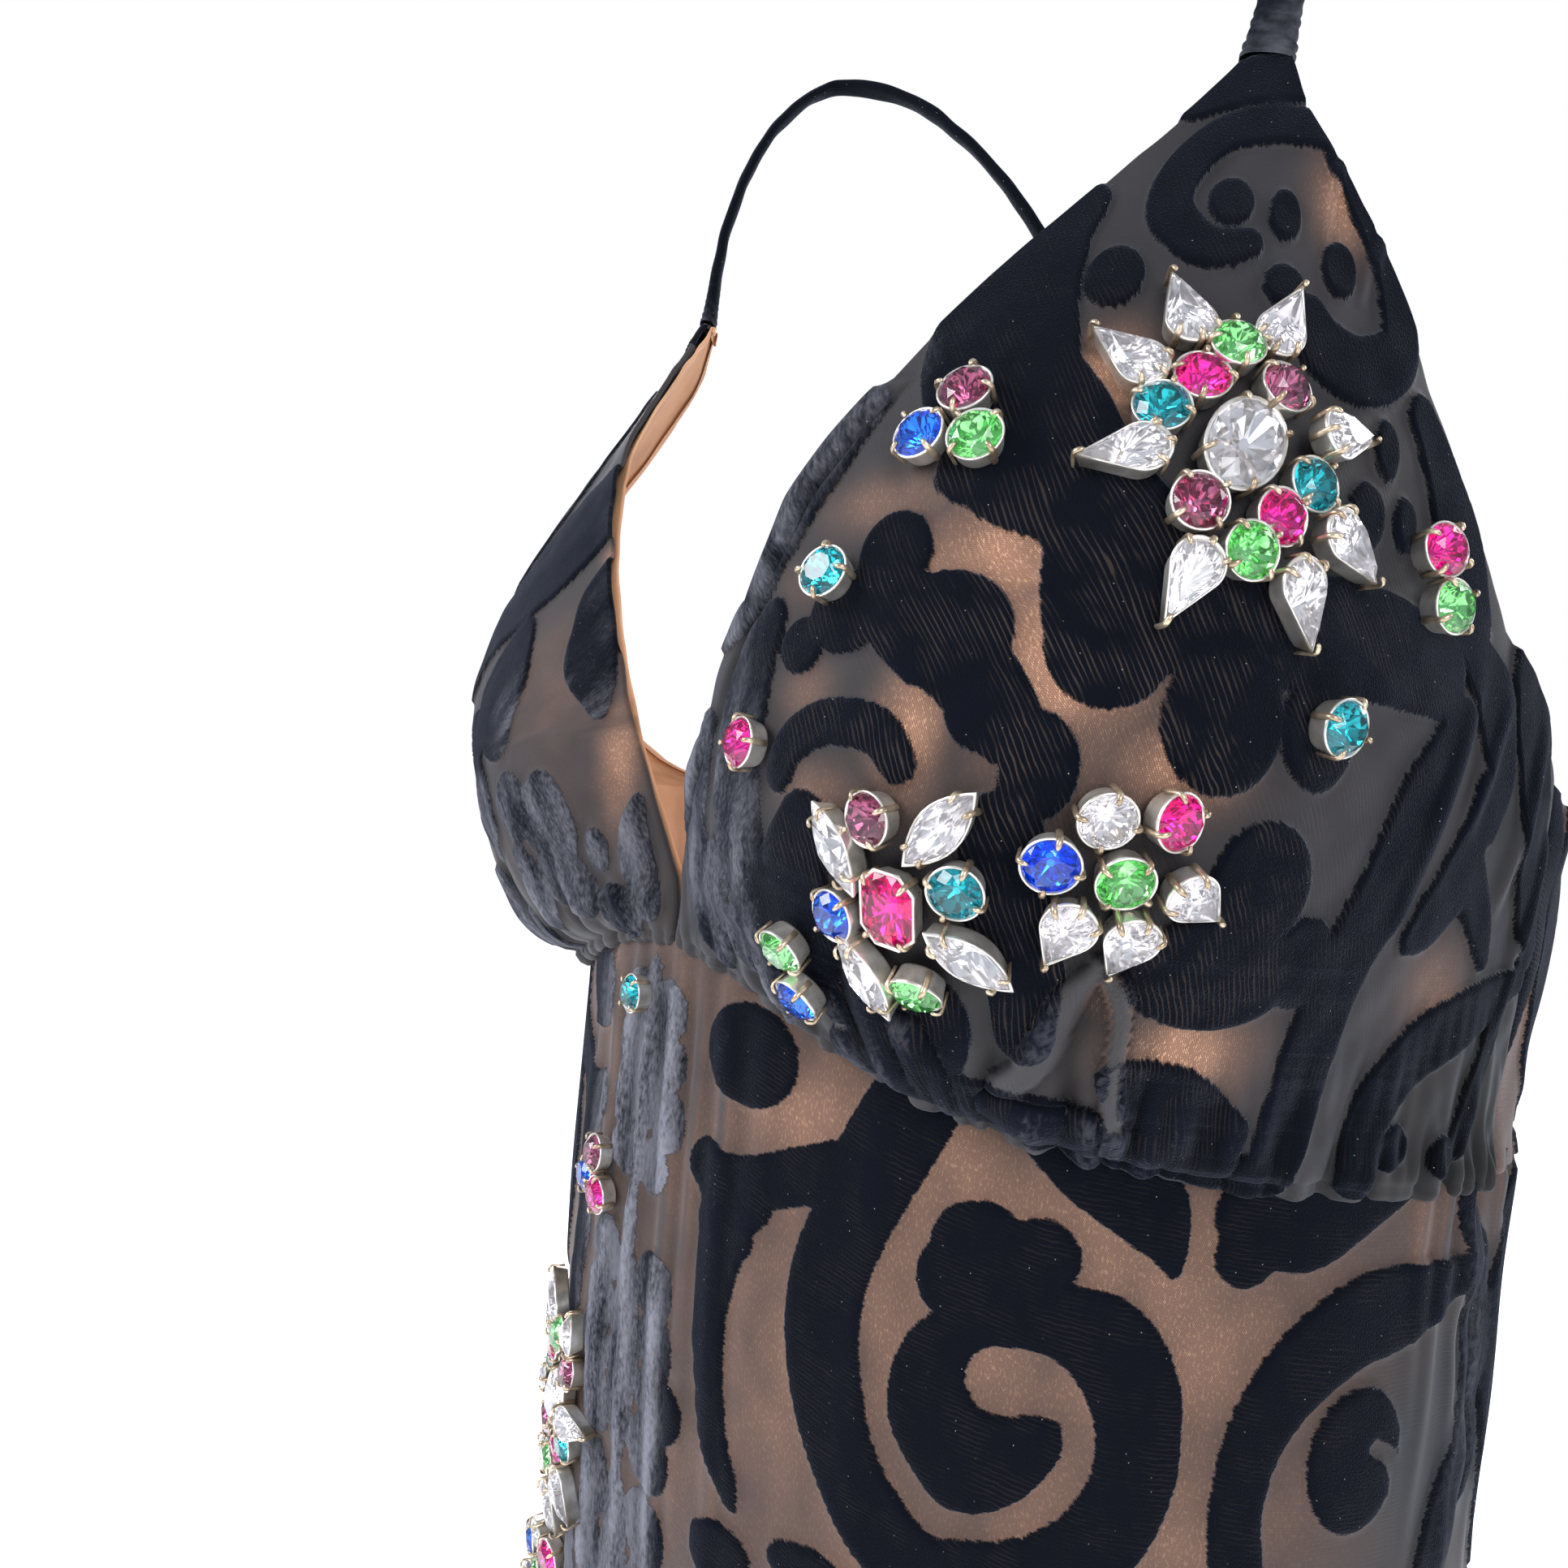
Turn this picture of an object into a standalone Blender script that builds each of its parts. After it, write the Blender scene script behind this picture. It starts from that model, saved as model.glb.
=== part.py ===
# Floor length velvet gown in its worn shape: two gathered triangle cups, two
# shoulder straps, a back band, an A line skirt cut in two panels, a plain
# lining behind all of them, and cut stones sewn on in small groups.
# Metres, +Z up. The front faces -Y and the wearer's left is +X. The origin lies
# between the tops of the two straps, where the wearer's shoulders hold the gown.
#
# Every panel follows one general figure. A place on it is an angle round the
# body (0 at the front, 90 at the wearer's left, 180 at the back) and a height
# above the under bust seam.

from collections import namedtuple

import bmesh
import bpy
import numpy as np
from mathutils import Matrix, Vector
from mathutils.bvhtree import BVHTree

# Driving sizes
STRAP_TOP = 0.300          # strap top above the under bust seam
SKIRT_LENGTH = 1.100       # under bust seam to hem
CUP_TIP = 0.204            # top of a cup above the seam
NECK_V = 0.036             # bottom of the neckline above the seam
VELVET = 0.0014            # wall of the velvet panels
LINING = 0.0010            # wall of the lining
STRAP_WIDTH = 0.008
STRAP_THICK = 0.0020
SEAM_GAP = 0.0003          # clear space between neighbouring pieces
LINING_SHORT = 0.030       # the lining ends this far above the velvet hem
SIDE_SEAM = 93.0           # angle of the side seams
STRAP_BACK = 168.0         # angle where a strap meets the back band
SEAM_ANGLE = 0.065         # half a seam's clear space, as an angle
LINING_SEAM_ANGLE = 0.35   # the same for the lining, whose edges lean together
LINING_EASE = 0.0012       # the lining hangs this far inside the velvet

# The figure's cross sections, each half an ellipse in front and half behind.
Section = namedtuple("Section", "height half_width front back")
SECTIONS = [
    Section(-1.100, 0.310, 0.270, 0.285),
    Section(-0.700, 0.230, 0.190, 0.195),
    Section(-0.450, 0.191, 0.146, 0.150),
    Section(-0.300, 0.168, 0.125, 0.125),
    Section(-0.200, 0.149, 0.115, 0.107),
    Section(-0.120, 0.134, 0.112, 0.095),
    Section(-0.060, 0.134, 0.111, 0.099),
    Section(0.000, 0.135, 0.107, 0.101),
    Section(0.070, 0.140, 0.106, 0.113),
    Section(0.150, 0.134, 0.094, 0.107),
    Section(0.204, 0.125, 0.076, 0.097),
]

# The bust that each cup is cut round, on the wearer's left (1) and right (-1).
# The right cup falls closer above the bust, and its fullest line leans outwards.
Bust = namedtuple("Bust", "angle height rise spread reach fade lean")
BUSTS = {
    1: Bust(angle=36.0, height=0.072, rise=0.039, spread=27.0, reach=0.150, fade=1.6, lean=0.0),
    -1: Bust(angle=36.0, height=0.072, rise=0.038, spread=27.0, reach=0.150, fade=3.5, lean=9.3),
}

# Under bust seam: it peaks at the centre front and drops towards the back.
SEAM_PEAK = 0.022
SEAM_PEAK_SPREAD = 28.0
SEAM_SIDE_DROP = 0.009

# A cup's two free edges, the neckline and the armhole, and the back band's top.
# The right cup is drawn in narrower, and the armhole under it hangs lower.
Edge = namedtuple("Edge", "height angle")
NECKLINES = {
    1: [
        Edge(SEAM_PEAK, 0.0),
        Edge(NECK_V, 0.5),
        Edge(0.050, 5.0),
        Edge(0.065, 10.5),
        Edge(0.090, 16.5),
        Edge(0.115, 21.0),
        Edge(0.133, 26.0),
        Edge(0.155, 33.0),
        Edge(0.182, 42.0),
        Edge(CUP_TIP, 50.5),
    ],
    -1: [
        Edge(SEAM_PEAK, 0.0),
        Edge(NECK_V, 0.5),
        Edge(0.050, 2.5),
        Edge(0.065, 4.7),
        Edge(0.090, 8.4),
        Edge(0.115, 13.0),
        Edge(0.133, 17.7),
        Edge(0.155, 26.0),
        Edge(0.182, 37.5),
        Edge(CUP_TIP, 50.5),
    ],
}
ARMHOLES = {
    1: [
        Edge(0.000, SIDE_SEAM),
        Edge(0.070, SIDE_SEAM),
        Edge(0.080, 90.3),
        Edge(0.0885, 85.8),
        Edge(0.097, 79.5),
        Edge(0.116, 74.0),
        Edge(0.138, 68.5),
        Edge(0.167, 62.9),
        Edge(0.190, 57.2),
        Edge(CUP_TIP, 55.3),
    ],
    -1: [
        Edge(0.000, SIDE_SEAM),
        Edge(0.048, SIDE_SEAM),
        Edge(0.052, 82.0),
        Edge(0.058, 74.0),
        Edge(0.068, 67.0),
        Edge(0.080, 61.5),
        Edge(0.092, 57.5),
        Edge(0.120, 51.0),
        Edge(0.138, 49.5),
        Edge(0.167, 53.5),
        Edge(0.190, 58.0),
        Edge(CUP_TIP, 55.3),
    ],
}
BACK_TOPS = {
    1: [
        Edge(0.070, SIDE_SEAM),
        Edge(0.058, 105.0),
        Edge(0.050, 125.0),
        Edge(0.046, 150.0),
        Edge(0.046, 180.0),
    ],
    -1: [
        Edge(0.048, SIDE_SEAM),
        Edge(0.047, 125.0),
        Edge(0.046, 150.0),
        Edge(0.046, 180.0),
    ],
}

# Gathers held by the under bust seam. They stand out from the plain cup.
Gather = namedtuple("Gather", "angle half_width rise reach")
GATHERS = [
    Gather(15.0, 2.6, 0.0022, 0.030),
    Gather(20.5, 2.8, 0.0034, 0.042),
    Gather(26.0, 2.8, 0.0040, 0.034),
    Gather(31.5, 2.8, 0.0052, 0.046),
    Gather(36.5, 2.6, 0.0040, 0.030),
    Gather(41.5, 2.6, 0.0060, 0.040),
    Gather(46.5, 2.4, 0.0075, 0.052),
    Gather(51.5, 2.6, 0.0048, 0.026),
    Gather(57.5, 3.0, 0.0040, 0.034),
    Gather(64.0, 3.2, 0.0034, 0.028),
    Gather(71.0, 3.4, 0.0026, 0.036),
    Gather(79.0, 3.6, 0.0022, 0.030),
]
GATHER_SWELL = 0.008       # a gather is fullest from this height above the seam

# Flutes that the skirt falls in, from where each one starts down to the hem.
Flute = namedtuple("Flute", "angle half_width rise top")
FLUTES = [
    Flute(-72.0, 15.0, 0.030, -0.36),
    Flute(-38.0, 14.0, 0.026, -0.44),
    Flute(-7.0, 13.0, 0.030, -0.33),
    Flute(30.0, 15.0, 0.024, -0.40),
    Flute(65.0, 14.0, 0.032, -0.38),
    Flute(112.0, 14.0, 0.030, -0.42),
    Flute(143.0, 13.0, 0.026, -0.36),
    Flute(175.0, 14.0, 0.034, -0.34),
    Flute(207.0, 13.0, 0.027, -0.43),
    Flute(243.0, 15.0, 0.031, -0.37),
]

# How finely each panel is divided.
CUP_ROWS = (0.0, 0.007, 0.0157, 0.026, 0.040, 0.055, 0.066, 0.076, 0.085,
            0.093, 0.106, 0.121, 0.138, 0.154, 0.170, 0.188, CUP_TIP)
SKIRT_ROWS = (0.0, 0.03, 0.08, 0.14, 0.21, 0.29, 0.39, 0.50, 0.62, 0.75, 0.88, 1.0)
CUP_COLUMNS = 36
CUP_LINING_COLUMNS = 12
SKIRT_COLUMNS = 36
SKIRT_LINING_COLUMNS = 14
BACK_ROWS = 5
BACK_COLUMNS = 12
BACK_LINING_COLUMNS = 6

# A strap's way over the shoulder between its two sewn ends.
Station = namedtuple("Station", "x y height turn")
STRAP_ROUTE = [
    Station(0.1020, -0.0380, 0.243, 34.0),
    Station(0.1012, -0.0195, 0.281, 20.0),
    Station(0.1000, 0.0020, 0.2998, 22.0),
    Station(0.0805, 0.0140, 0.294, 50.0),
    Station(0.0560, 0.0270, 0.273, 54.0),
    Station(0.0360, 0.0500, 0.236, 34.0),
    Station(0.0280, 0.0780, 0.183, 12.0),
    Station(0.0280, 0.0980, 0.115, -4.0),
]
STRAP_FRONT_TURN = 39.0
STRAP_BACK_TURN = -12.0
STRAP_STEPS = 12

# Stones. Each sits in a tapered metal cup and shows a flat table on top.
Cut = namedtuple("Cut", "length width sides")
CUTS = {
    "round": Cut(0.0086, 0.0086, 8),
    "oval": Cut(0.0172, 0.0124, 8),
    "pear": Cut(0.0145, 0.0084, 8),
    "navette": Cut(0.0150, 0.0070, 6),
    "octagon": Cut(0.0125, 0.0096, 8),
}
CUP_TAPER = 0.84           # foot of the metal cup over its rim
TABLE = 0.56               # table of the stone over its rim
CORNER_CUT = 0.55          # corner taken off an octagon over its half width
CUP_HIGH = 0.0034
STONE_HIGH = 0.0052
LINK_WIDE = 0.0013         # link that joins neighbouring cups in a group
LINK_HIGH = 0.0010
LINK_LEVEL = 0.0019
SEAT_SEARCH = 0.020        # how far off the cloth its surface is looked for

# Small steps used to find the slope of a panel at a stone.
ANGLE_STEP = 0.3
HEIGHT_STEP = 0.0006

# Places in a group: distance and bearing from its middle, and which way the
# stone's length points, measured from the wearer's left, turning upwards.
Place = namedtuple("Place", "cut distance bearing turn")
FLOWER_HALF = [
    Place("round", 0.0175, 86.0, 0.0),
    Place("round", 0.0123, 114.0, 0.0),
    Place("round", 0.0135, 52.0, 0.0),
    Place("round", 0.0130, 156.0, 0.0),
    Place("pear", 0.0264, 105.0, 105.0),
    Place("pear", 0.0264, 66.0, 62.0),
    Place("pear", 0.0232, 137.0, 139.0),
    Place("pear", 0.0188, 190.0, 188.0),
]
FLOWER_HEART = Place("oval", 0.0, 0.0, 52.0)
OCTAGON_GROUP = [
    Place("octagon", 0.0, 0.0, 84.0),
    Place("round", 0.0150, 98.0, 0.0),
    Place("round", 0.0118, 15.0, 0.0),
    Place("round", 0.0148, -76.0, 0.0),
    Place("round", 0.0112, 190.0, 0.0),
    Place("navette", 0.0164, 57.0, 47.0),
    Place("navette", 0.0160, -35.0, -37.0),
    Place("navette", 0.0150, 139.0, 128.0),
    Place("navette", 0.0150, 232.0, 246.0),
]
HALF_FLOWER = [
    Place("round", 0.0, 0.0, 0.0),
    Place("round", 0.0110, 168.0, 0.0),
    Place("round", 0.0098, 112.0, 0.0),
    Place("round", 0.0104, 54.0, 0.0),
    Place("pear", 0.0124, -12.0, -18.0),
    Place("pear", 0.0134, 229.0, 232.0),
    Place("pear", 0.0134, -74.0, -74.0),
]
TRIPLE = [
    Place("round", 0.0054, 80.0, 0.0),
    Place("round", 0.0054, 200.0, 0.0),
    Place("round", 0.0054, -40.0, 0.0),
]
PAIR = [
    Place("round", 0.0046, 100.0, 0.0),
    Place("round", 0.0046, 280.0, 0.0),
]
SINGLE = [Place("round", 0.0, 0.0, 0.0)]


def whole_flower():
    # The flower is the same turned half round, about its oval heart.
    places = [FLOWER_HEART]
    for half_turn in (0.0, 180.0):
        for place in FLOWER_HALF:
            places.append(place._replace(bearing=place.bearing + half_turn,
                                         turn=place.turn + half_turn))
    return places


# Groups of stones: name, the panel they are sewn to, their middle and places.
Group = namedtuple("Group", "name panel angle height places")
GROUPS = [
    Group("stones_flower_cup", "cup_left", 50.4, 0.120, whole_flower()),
    Group("stones_octagon", "cup_left", 33.2, 0.0441, OCTAGON_GROUP),
    Group("stones_half_flower_cup", "cup_left", 45.6, 0.0533, HALF_FLOWER),
    Group("stones_triple_cup", "cup_left", 33.9, 0.1228, TRIPLE),
    Group("stones_pair_front", "cup_left", 26.0, 0.0325, PAIR),
    Group("stones_pair_side", "cup_left", 67.3, 0.1030, PAIR),
    Group("stone_neckline_high", "cup_left", 27.0, 0.0979, SINGLE),
    Group("stone_neckline_low", "cup_left", 21.8, 0.0690, SINGLE),
    Group("stone_side", "cup_left", 57.3, 0.0776, SINGLE),
    Group("stone_skirt_top", "skirt_front", -4.6, 0.0060, SINGLE),
    Group("stones_triple_skirt", "skirt_front", -10.5, -0.0432, TRIPLE),
    Group("stones_flower_skirt", "skirt_front", -19.0, -0.1120, whole_flower()),
    Group("stones_half_flower_skirt", "skirt_front", -20.0, -0.1640, HALF_FLOWER),
]

# Colours and finish of each kind of piece.
Finish = namedtuple("Finish", "colour roughness metallic")
FINISHES = {
    "velvet": Finish((0.012, 0.013, 0.018), 0.95, 0.0),
    "lining": Finish((0.56, 0.33, 0.21), 0.60, 0.0),
    "stones": Finish((0.75, 0.72, 0.78), 0.12, 0.3),
}


def curve(table, column, at):
    # A smooth line through one column of a table, read at any height.
    heights = np.array([row.height for row in table])
    values = np.array([getattr(row, column) for row in table])
    slopes = np.gradient(values, heights)
    at = np.clip(at, heights[0], heights[-1])
    low = np.clip(np.searchsorted(heights, at) - 1, 0, len(heights) - 2)
    span = heights[low + 1] - heights[low]
    s = (at - heights[low]) / span
    start = (2 * s**3 - 3 * s**2 + 1) * values[low] + (s**3 - 2 * s**2 + s) * span * slopes[low]
    end = (3 * s**2 - 2 * s**3) * values[low + 1] + (s**3 - s**2) * span * slopes[low + 1]
    return start + end


def seam_height(angle):
    # Height of the under bust seam, which rises in the middle of the front.
    around = (np.asarray(angle) + 180.0) % 360.0 - 180.0
    peak = SEAM_PEAK * np.exp(-((around / SEAM_PEAK_SPREAD) ** 2))
    return peak - SEAM_SIDE_DROP * (1.0 - np.cos(np.radians(around)))


def figure_point(angle, height, out=0.0):
    # A point on the figure's section, moved out level by the given distance.
    turn = np.radians(angle)
    width = curve(SECTIONS, "half_width", height)
    depth = np.where(np.cos(turn) > 0.0, curve(SECTIONS, "front", height),
                     curve(SECTIONS, "back", height))
    normal = np.array([np.sin(turn) / width, -np.cos(turn) / depth])
    normal = normal / np.hypot(normal[0], normal[1])
    x = width * np.sin(turn) + normal[0] * out
    y = -depth * np.cos(turn) + normal[1] * out
    return np.array([x, y, height - STRAP_TOP])


def bust_rise(angle, height):
    # How far the cup stands out from the figure's section. It rises steeply
    # from the centre front and the seam, and fades to the side and the tip.
    bust = BUSTS[-1 if angle < 0.0 else 1]
    side = abs(angle)
    climb = max(height - bust.height, 0.0)
    fullest = bust.angle + bust.lean * climb / (CUP_TIP - bust.height)
    if side < fullest:
        across = np.sin(0.5 * np.pi * side / fullest) ** 1.1
    else:
        across = np.exp(-(((side - fullest) / bust.spread) ** 2))
    drop = bust.height - seam_height(side)
    below = np.clip(1.0 - (min(height - bust.height, 0.0) / drop) ** 2, 0.0, 1.0) ** 0.6
    above = np.clip(1.0 - (climb / bust.reach) ** 2, 0.0, 1.0) ** bust.fade
    return bust.rise * across * below * above


def gather_rise(angle, height):
    # Outward swell of the gathers above the under bust seam.
    above = height - seam_height(angle)
    swell = 0.4 + 0.6 * min(above / GATHER_SWELL, 1.0)
    total = 0.0
    for gather in GATHERS:
        across = max(0.0, 1.0 - ((abs(angle) - gather.angle) / gather.half_width) ** 2)
        fade = max(0.0, 1.0 - above / gather.reach)
        total += gather.rise * across**1.3 * fade**1.2 * swell
    return total


def flute_rise(angle, height):
    # Outward swell of the skirt's flutes, growing towards the hem.
    total = 0.0
    for flute in FLUTES:
        apart = abs((angle - flute.angle + 180.0) % 360.0 - 180.0)
        across = np.cos(0.5 * np.pi * min(apart / flute.half_width, 1.0)) ** 2
        fall = np.clip((flute.top - height) / (flute.top + SKIRT_LENGTH), 0.0, 1.0)
        total += flute.rise * across * fall**1.5
    return total


def plain_cup(angle, height):
    return figure_point(angle, height, bust_rise(angle, height))


def velvet_cup(angle, height):
    return figure_point(angle, height, bust_rise(angle, height) + gather_rise(angle, height))


def plain_skirt(angle, height):
    return figure_point(angle, height)


def velvet_skirt(angle, height):
    return figure_point(angle, height, flute_rise(angle, height))


def edge_angle(edge, level):
    # Where an edge crosses one of a cup's rows. A row starts from the seam, so
    # its level is 0 all along the seam and rises to the tip's height at the tip.
    levels = []
    for row in edge:
        foot = seam_height(row.angle)
        levels.append((row.height - foot) / (1.0 - foot / CUP_TIP))
    return np.interp(level, levels, [row.angle for row in edge])


def cup_grid(surface, columns, side, seam):
    # Rows of points from the seam to the tip, columns from neckline to armhole.
    rows = []
    for level in CUP_ROWS:
        first = edge_angle(NECKLINES[side], level) + seam
        last = edge_angle(ARMHOLES[side], level) - seam
        rise = level / CUP_TIP
        row = []
        for angle in np.linspace(first, last, columns + 1):
            foot = seam_height(angle) + 0.5 * SEAM_GAP
            row.append(surface(side * angle, (1.0 - rise) * foot + rise * CUP_TIP))
        rows.append(row)
    return rows


def back_top(side, angle):
    top = BACK_TOPS[side]
    return np.interp(angle, [edge.angle for edge in top], [edge.height for edge in top])


def back_grid(columns, side, seam):
    # The back band, from the side seam to the centre back seam.
    rows = []
    angles = np.linspace(SIDE_SEAM + seam, 180.0 - seam, columns + 1)
    for rise in np.linspace(0.0, 1.0, BACK_ROWS + 1):
        row = []
        for angle in angles:
            foot = seam_height(angle) + 0.5 * SEAM_GAP
            top = back_top(side, angle)
            row.append(figure_point(side * angle, (1.0 - rise) * foot + rise * top))
        rows.append(row)
    return rows


def skirt_grid(surface, columns, start, end, length, seam):
    # A skirt panel between its two side seams, rows from the hem up.
    rows = []
    angles = np.linspace(start + seam, end - seam, columns + 1)
    for fall in reversed(SKIRT_ROWS):
        row = []
        for angle in angles:
            top = seam_height(angle) - 0.5 * SEAM_GAP
            row.append(surface(angle, (1.0 - fall) * top - fall * length))
        rows.append(row)
    return rows


def strap_grid(side):
    # A flat ribbon on a smooth way from the cup's tip to the back band.
    mirror = np.array([side, 1.0, 1.0])
    middle = 0.5 * (NECKLINES[side][-1].angle + ARMHOLES[side][-1].angle)
    first = plain_cup(side * middle, CUP_TIP) * mirror
    last = figure_point(STRAP_BACK, back_top(side, STRAP_BACK))
    points = [first + np.array([0.0, 0.0, SEAM_GAP])]
    points += [np.array([s.x, s.y, s.height - STRAP_TOP]) for s in STRAP_ROUTE]
    points.append(last + np.array([0.0, 0.0, 2.0 * SEAM_GAP]))
    turns = [STRAP_FRONT_TURN] + [s.turn for s in STRAP_ROUTE] + [STRAP_BACK_TURN]
    points = np.array(points)
    runs = np.concatenate([[0.0], np.cumsum(np.linalg.norm(np.diff(points, axis=0), axis=1))])
    slopes = np.gradient(points, runs, axis=0)
    rows = []
    for run in np.linspace(0.0, runs[-1], STRAP_STEPS + 1):
        low = min(max(np.searchsorted(runs, run) - 1, 0), len(runs) - 2)
        span = runs[low + 1] - runs[low]
        s = (run - runs[low]) / span
        place = (2 * s**3 - 3 * s**2 + 1) * points[low] + (s**3 - 2 * s**2 + s) * span * slopes[low]
        place += (3 * s**2 - 2 * s**3) * points[low + 1] + (s**3 - s**2) * span * slopes[low + 1]
        turn = np.radians(np.interp(run, runs, turns))
        across = 0.5 * STRAP_WIDTH * np.array([np.cos(turn), np.sin(turn), 0.0])
        row = [place - across, place, place + across]
        rows.append([point * mirror for point in row])
    return rows


def material(kind, name):
    finish = FINISHES[kind]
    made = bpy.data.materials.new(name)
    made.use_nodes = True
    made.diffuse_color = (*finish.colour, 1.0)
    shader = made.node_tree.nodes["Principled BSDF"]
    shader.inputs["Base Color"].default_value = (*finish.colour, 1.0)
    shader.inputs["Roughness"].default_value = finish.roughness
    shader.inputs["Metallic"].default_value = finish.metallic
    return made


def add_panel(name, rows, wall, inset, kind, flipped=False):
    # An open sheet of cloth, given its wall by Solidify. The inset is how far
    # the wall's outer face lies inside the sheet.
    across = len(rows[0])
    faces = []
    for i in range(len(rows) - 1):
        for j in range(across - 1):
            corner = i * across + j
            face = (corner, corner + 1, corner + across + 1, corner + across)
            faces.append(face[::-1] if flipped else face)
    mesh = bpy.data.meshes.new(name)
    mesh.from_pydata([tuple(point) for row in rows for point in row], [], faces)
    mesh.materials.append(material(kind, name))
    mesh.shade_smooth()
    panel = bpy.data.objects.new(name, mesh)
    gown.objects.link(panel)
    solidify = panel.modifiers.new("Wall", "SOLIDIFY")
    solidify.thickness = wall
    solidify.offset = -(1.0 + 2.0 * inset / wall)
    solidify.use_even_offset = True
    return panel


def outline(cut):
    # Points round a stone's rim, its length along X.
    half_length = 0.5 * cut.length
    half_width = 0.5 * cut.width
    points = []
    for step in range(cut.sides):
        turn = 2.0 * np.pi * step / cut.sides
        x, y = np.cos(turn), np.sin(turn)
        points.append((half_length * x, half_width * y))
    return points


def pear_outline(cut):
    # A round end at -X drawn out to a point at +X, by lines that touch the round.
    radius = 0.5 * cut.width
    centre = radius - 0.5 * cut.length
    touch = np.degrees(np.arccos(radius / (0.5 * cut.length - centre)))
    points = [(0.5 * cut.length, 0.0)]
    for step in range(cut.sides - 1):
        turn = np.radians(touch + (360.0 - 2.0 * touch) * step / (cut.sides - 2))
        points.append((centre + radius * np.cos(turn), radius * np.sin(turn)))
    return points


def octagon_outline(cut):
    # A rectangle with its corners cut off.
    x, y = 0.5 * cut.length, 0.5 * cut.width
    corner = CORNER_CUT * y
    return [(x, y - corner), (x - corner, y), (corner - x, y), (-x, y - corner),
            (-x, corner - y), (corner - x, -y), (x - corner, -y), (x, corner - y)]


def stone_outline(kind):
    cut = CUTS[kind]
    if kind == "pear":
        return pear_outline(cut)
    if kind == "octagon":
        return octagon_outline(cut)
    return outline(cut)


def stone_mesh(kind):
    # The metal cup widens to the rim and the stone narrows to its table.
    shape = bmesh.new()
    foot = shape.faces.new([shape.verts.new((x * CUP_TAPER, y * CUP_TAPER, 0.0))
                            for x, y in stone_outline(kind)])
    top = foot
    for spread, level in ((1.0 / CUP_TAPER, CUP_HIGH), (TABLE, STONE_HIGH)):
        below = top
        raised = bmesh.ops.extrude_face_region(shape, geom=[below])
        top = next(item for item in raised["geom"] if isinstance(item, bmesh.types.BMFace))
        for vert in top.verts:
            vert.co = Vector((vert.co.x * spread, vert.co.y * spread, level))
        if below.is_valid and below is not foot:
            bmesh.ops.delete(shape, geom=[below], context="FACES_ONLY")
    bmesh.ops.recalc_face_normals(shape, faces=shape.faces)
    mesh = bpy.data.meshes.new(kind)
    shape.to_mesh(mesh)
    shape.free()
    return mesh


def walk(surface, angle, height, across, up, steps=4):
    # Move over the cloth by a distance across and a distance up.
    for _ in range(steps):
        here = surface(angle, height)
        by_angle = (surface(angle + ANGLE_STEP, height) - here) / ANGLE_STEP
        by_height = (surface(angle, height + HEIGHT_STEP) - here) / HEIGHT_STEP
        level = by_angle / np.linalg.norm(by_angle)
        rise = by_height - level * (by_height @ level)
        rise = rise / np.linalg.norm(rise)
        spread = np.array([[by_angle @ level, by_height @ level],
                           [by_angle @ rise, by_height @ rise]])
        move = np.linalg.solve(spread, np.array([across, up]) / steps)
        angle += move[0]
        height += move[1]
    return angle, height


def cloth_frame(surface, angle, height, turn):
    # Axes of a stone on the cloth: its length, its width and straight out.
    here = surface(angle, height)
    level = surface(angle + ANGLE_STEP, height) - surface(angle - ANGLE_STEP, height)
    climb = surface(angle, height + HEIGHT_STEP) - surface(angle, height - HEIGHT_STEP)
    level = Vector(level).normalized()
    outward = level.cross(Vector(climb)).normalized()
    length = Matrix.Rotation(np.radians(turn), 3, outward) @ level
    return Vector(here), length, outward.cross(length), outward


def seat(tree, place, axes, cut):
    # Lift a stone until its foot is just clear of the cloth below it.
    length, width, outward = axes
    lift = 0.0
    for ring in (0.0, 0.5, 1.0):
        for step in range(8):
            turn = 0.25 * np.pi * step
            offset = length * (0.5 * cut.length * np.cos(turn) * ring)
            offset += width * (0.5 * cut.width * np.sin(turn) * ring)
            start = place + offset + outward * SEAT_SEARCH
            hit = tree.ray_cast(start, -outward, 2.0 * SEAT_SEARCH)
            if hit[0] is not None:
                lift = max(lift, (hit[0] - place).dot(outward))
    return place + outward * (lift + SEAM_GAP)


def link_mesh(first, second, outward):
    # A short bar between two cups.
    along = second - first
    width = outward.cross(along).normalized()
    height = along.normalized().cross(width)
    frame = Matrix((along, width * LINK_WIDE, height * LINK_HIGH)).transposed().to_4x4()
    frame.translation = 0.5 * (first + second)
    shape = bmesh.new()
    bmesh.ops.create_cube(shape, size=1.0, matrix=frame)
    bmesh.ops.recalc_face_normals(shape, faces=shape.faces)
    mesh = bpy.data.meshes.new("link")
    shape.to_mesh(mesh)
    shape.free()
    return mesh


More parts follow.
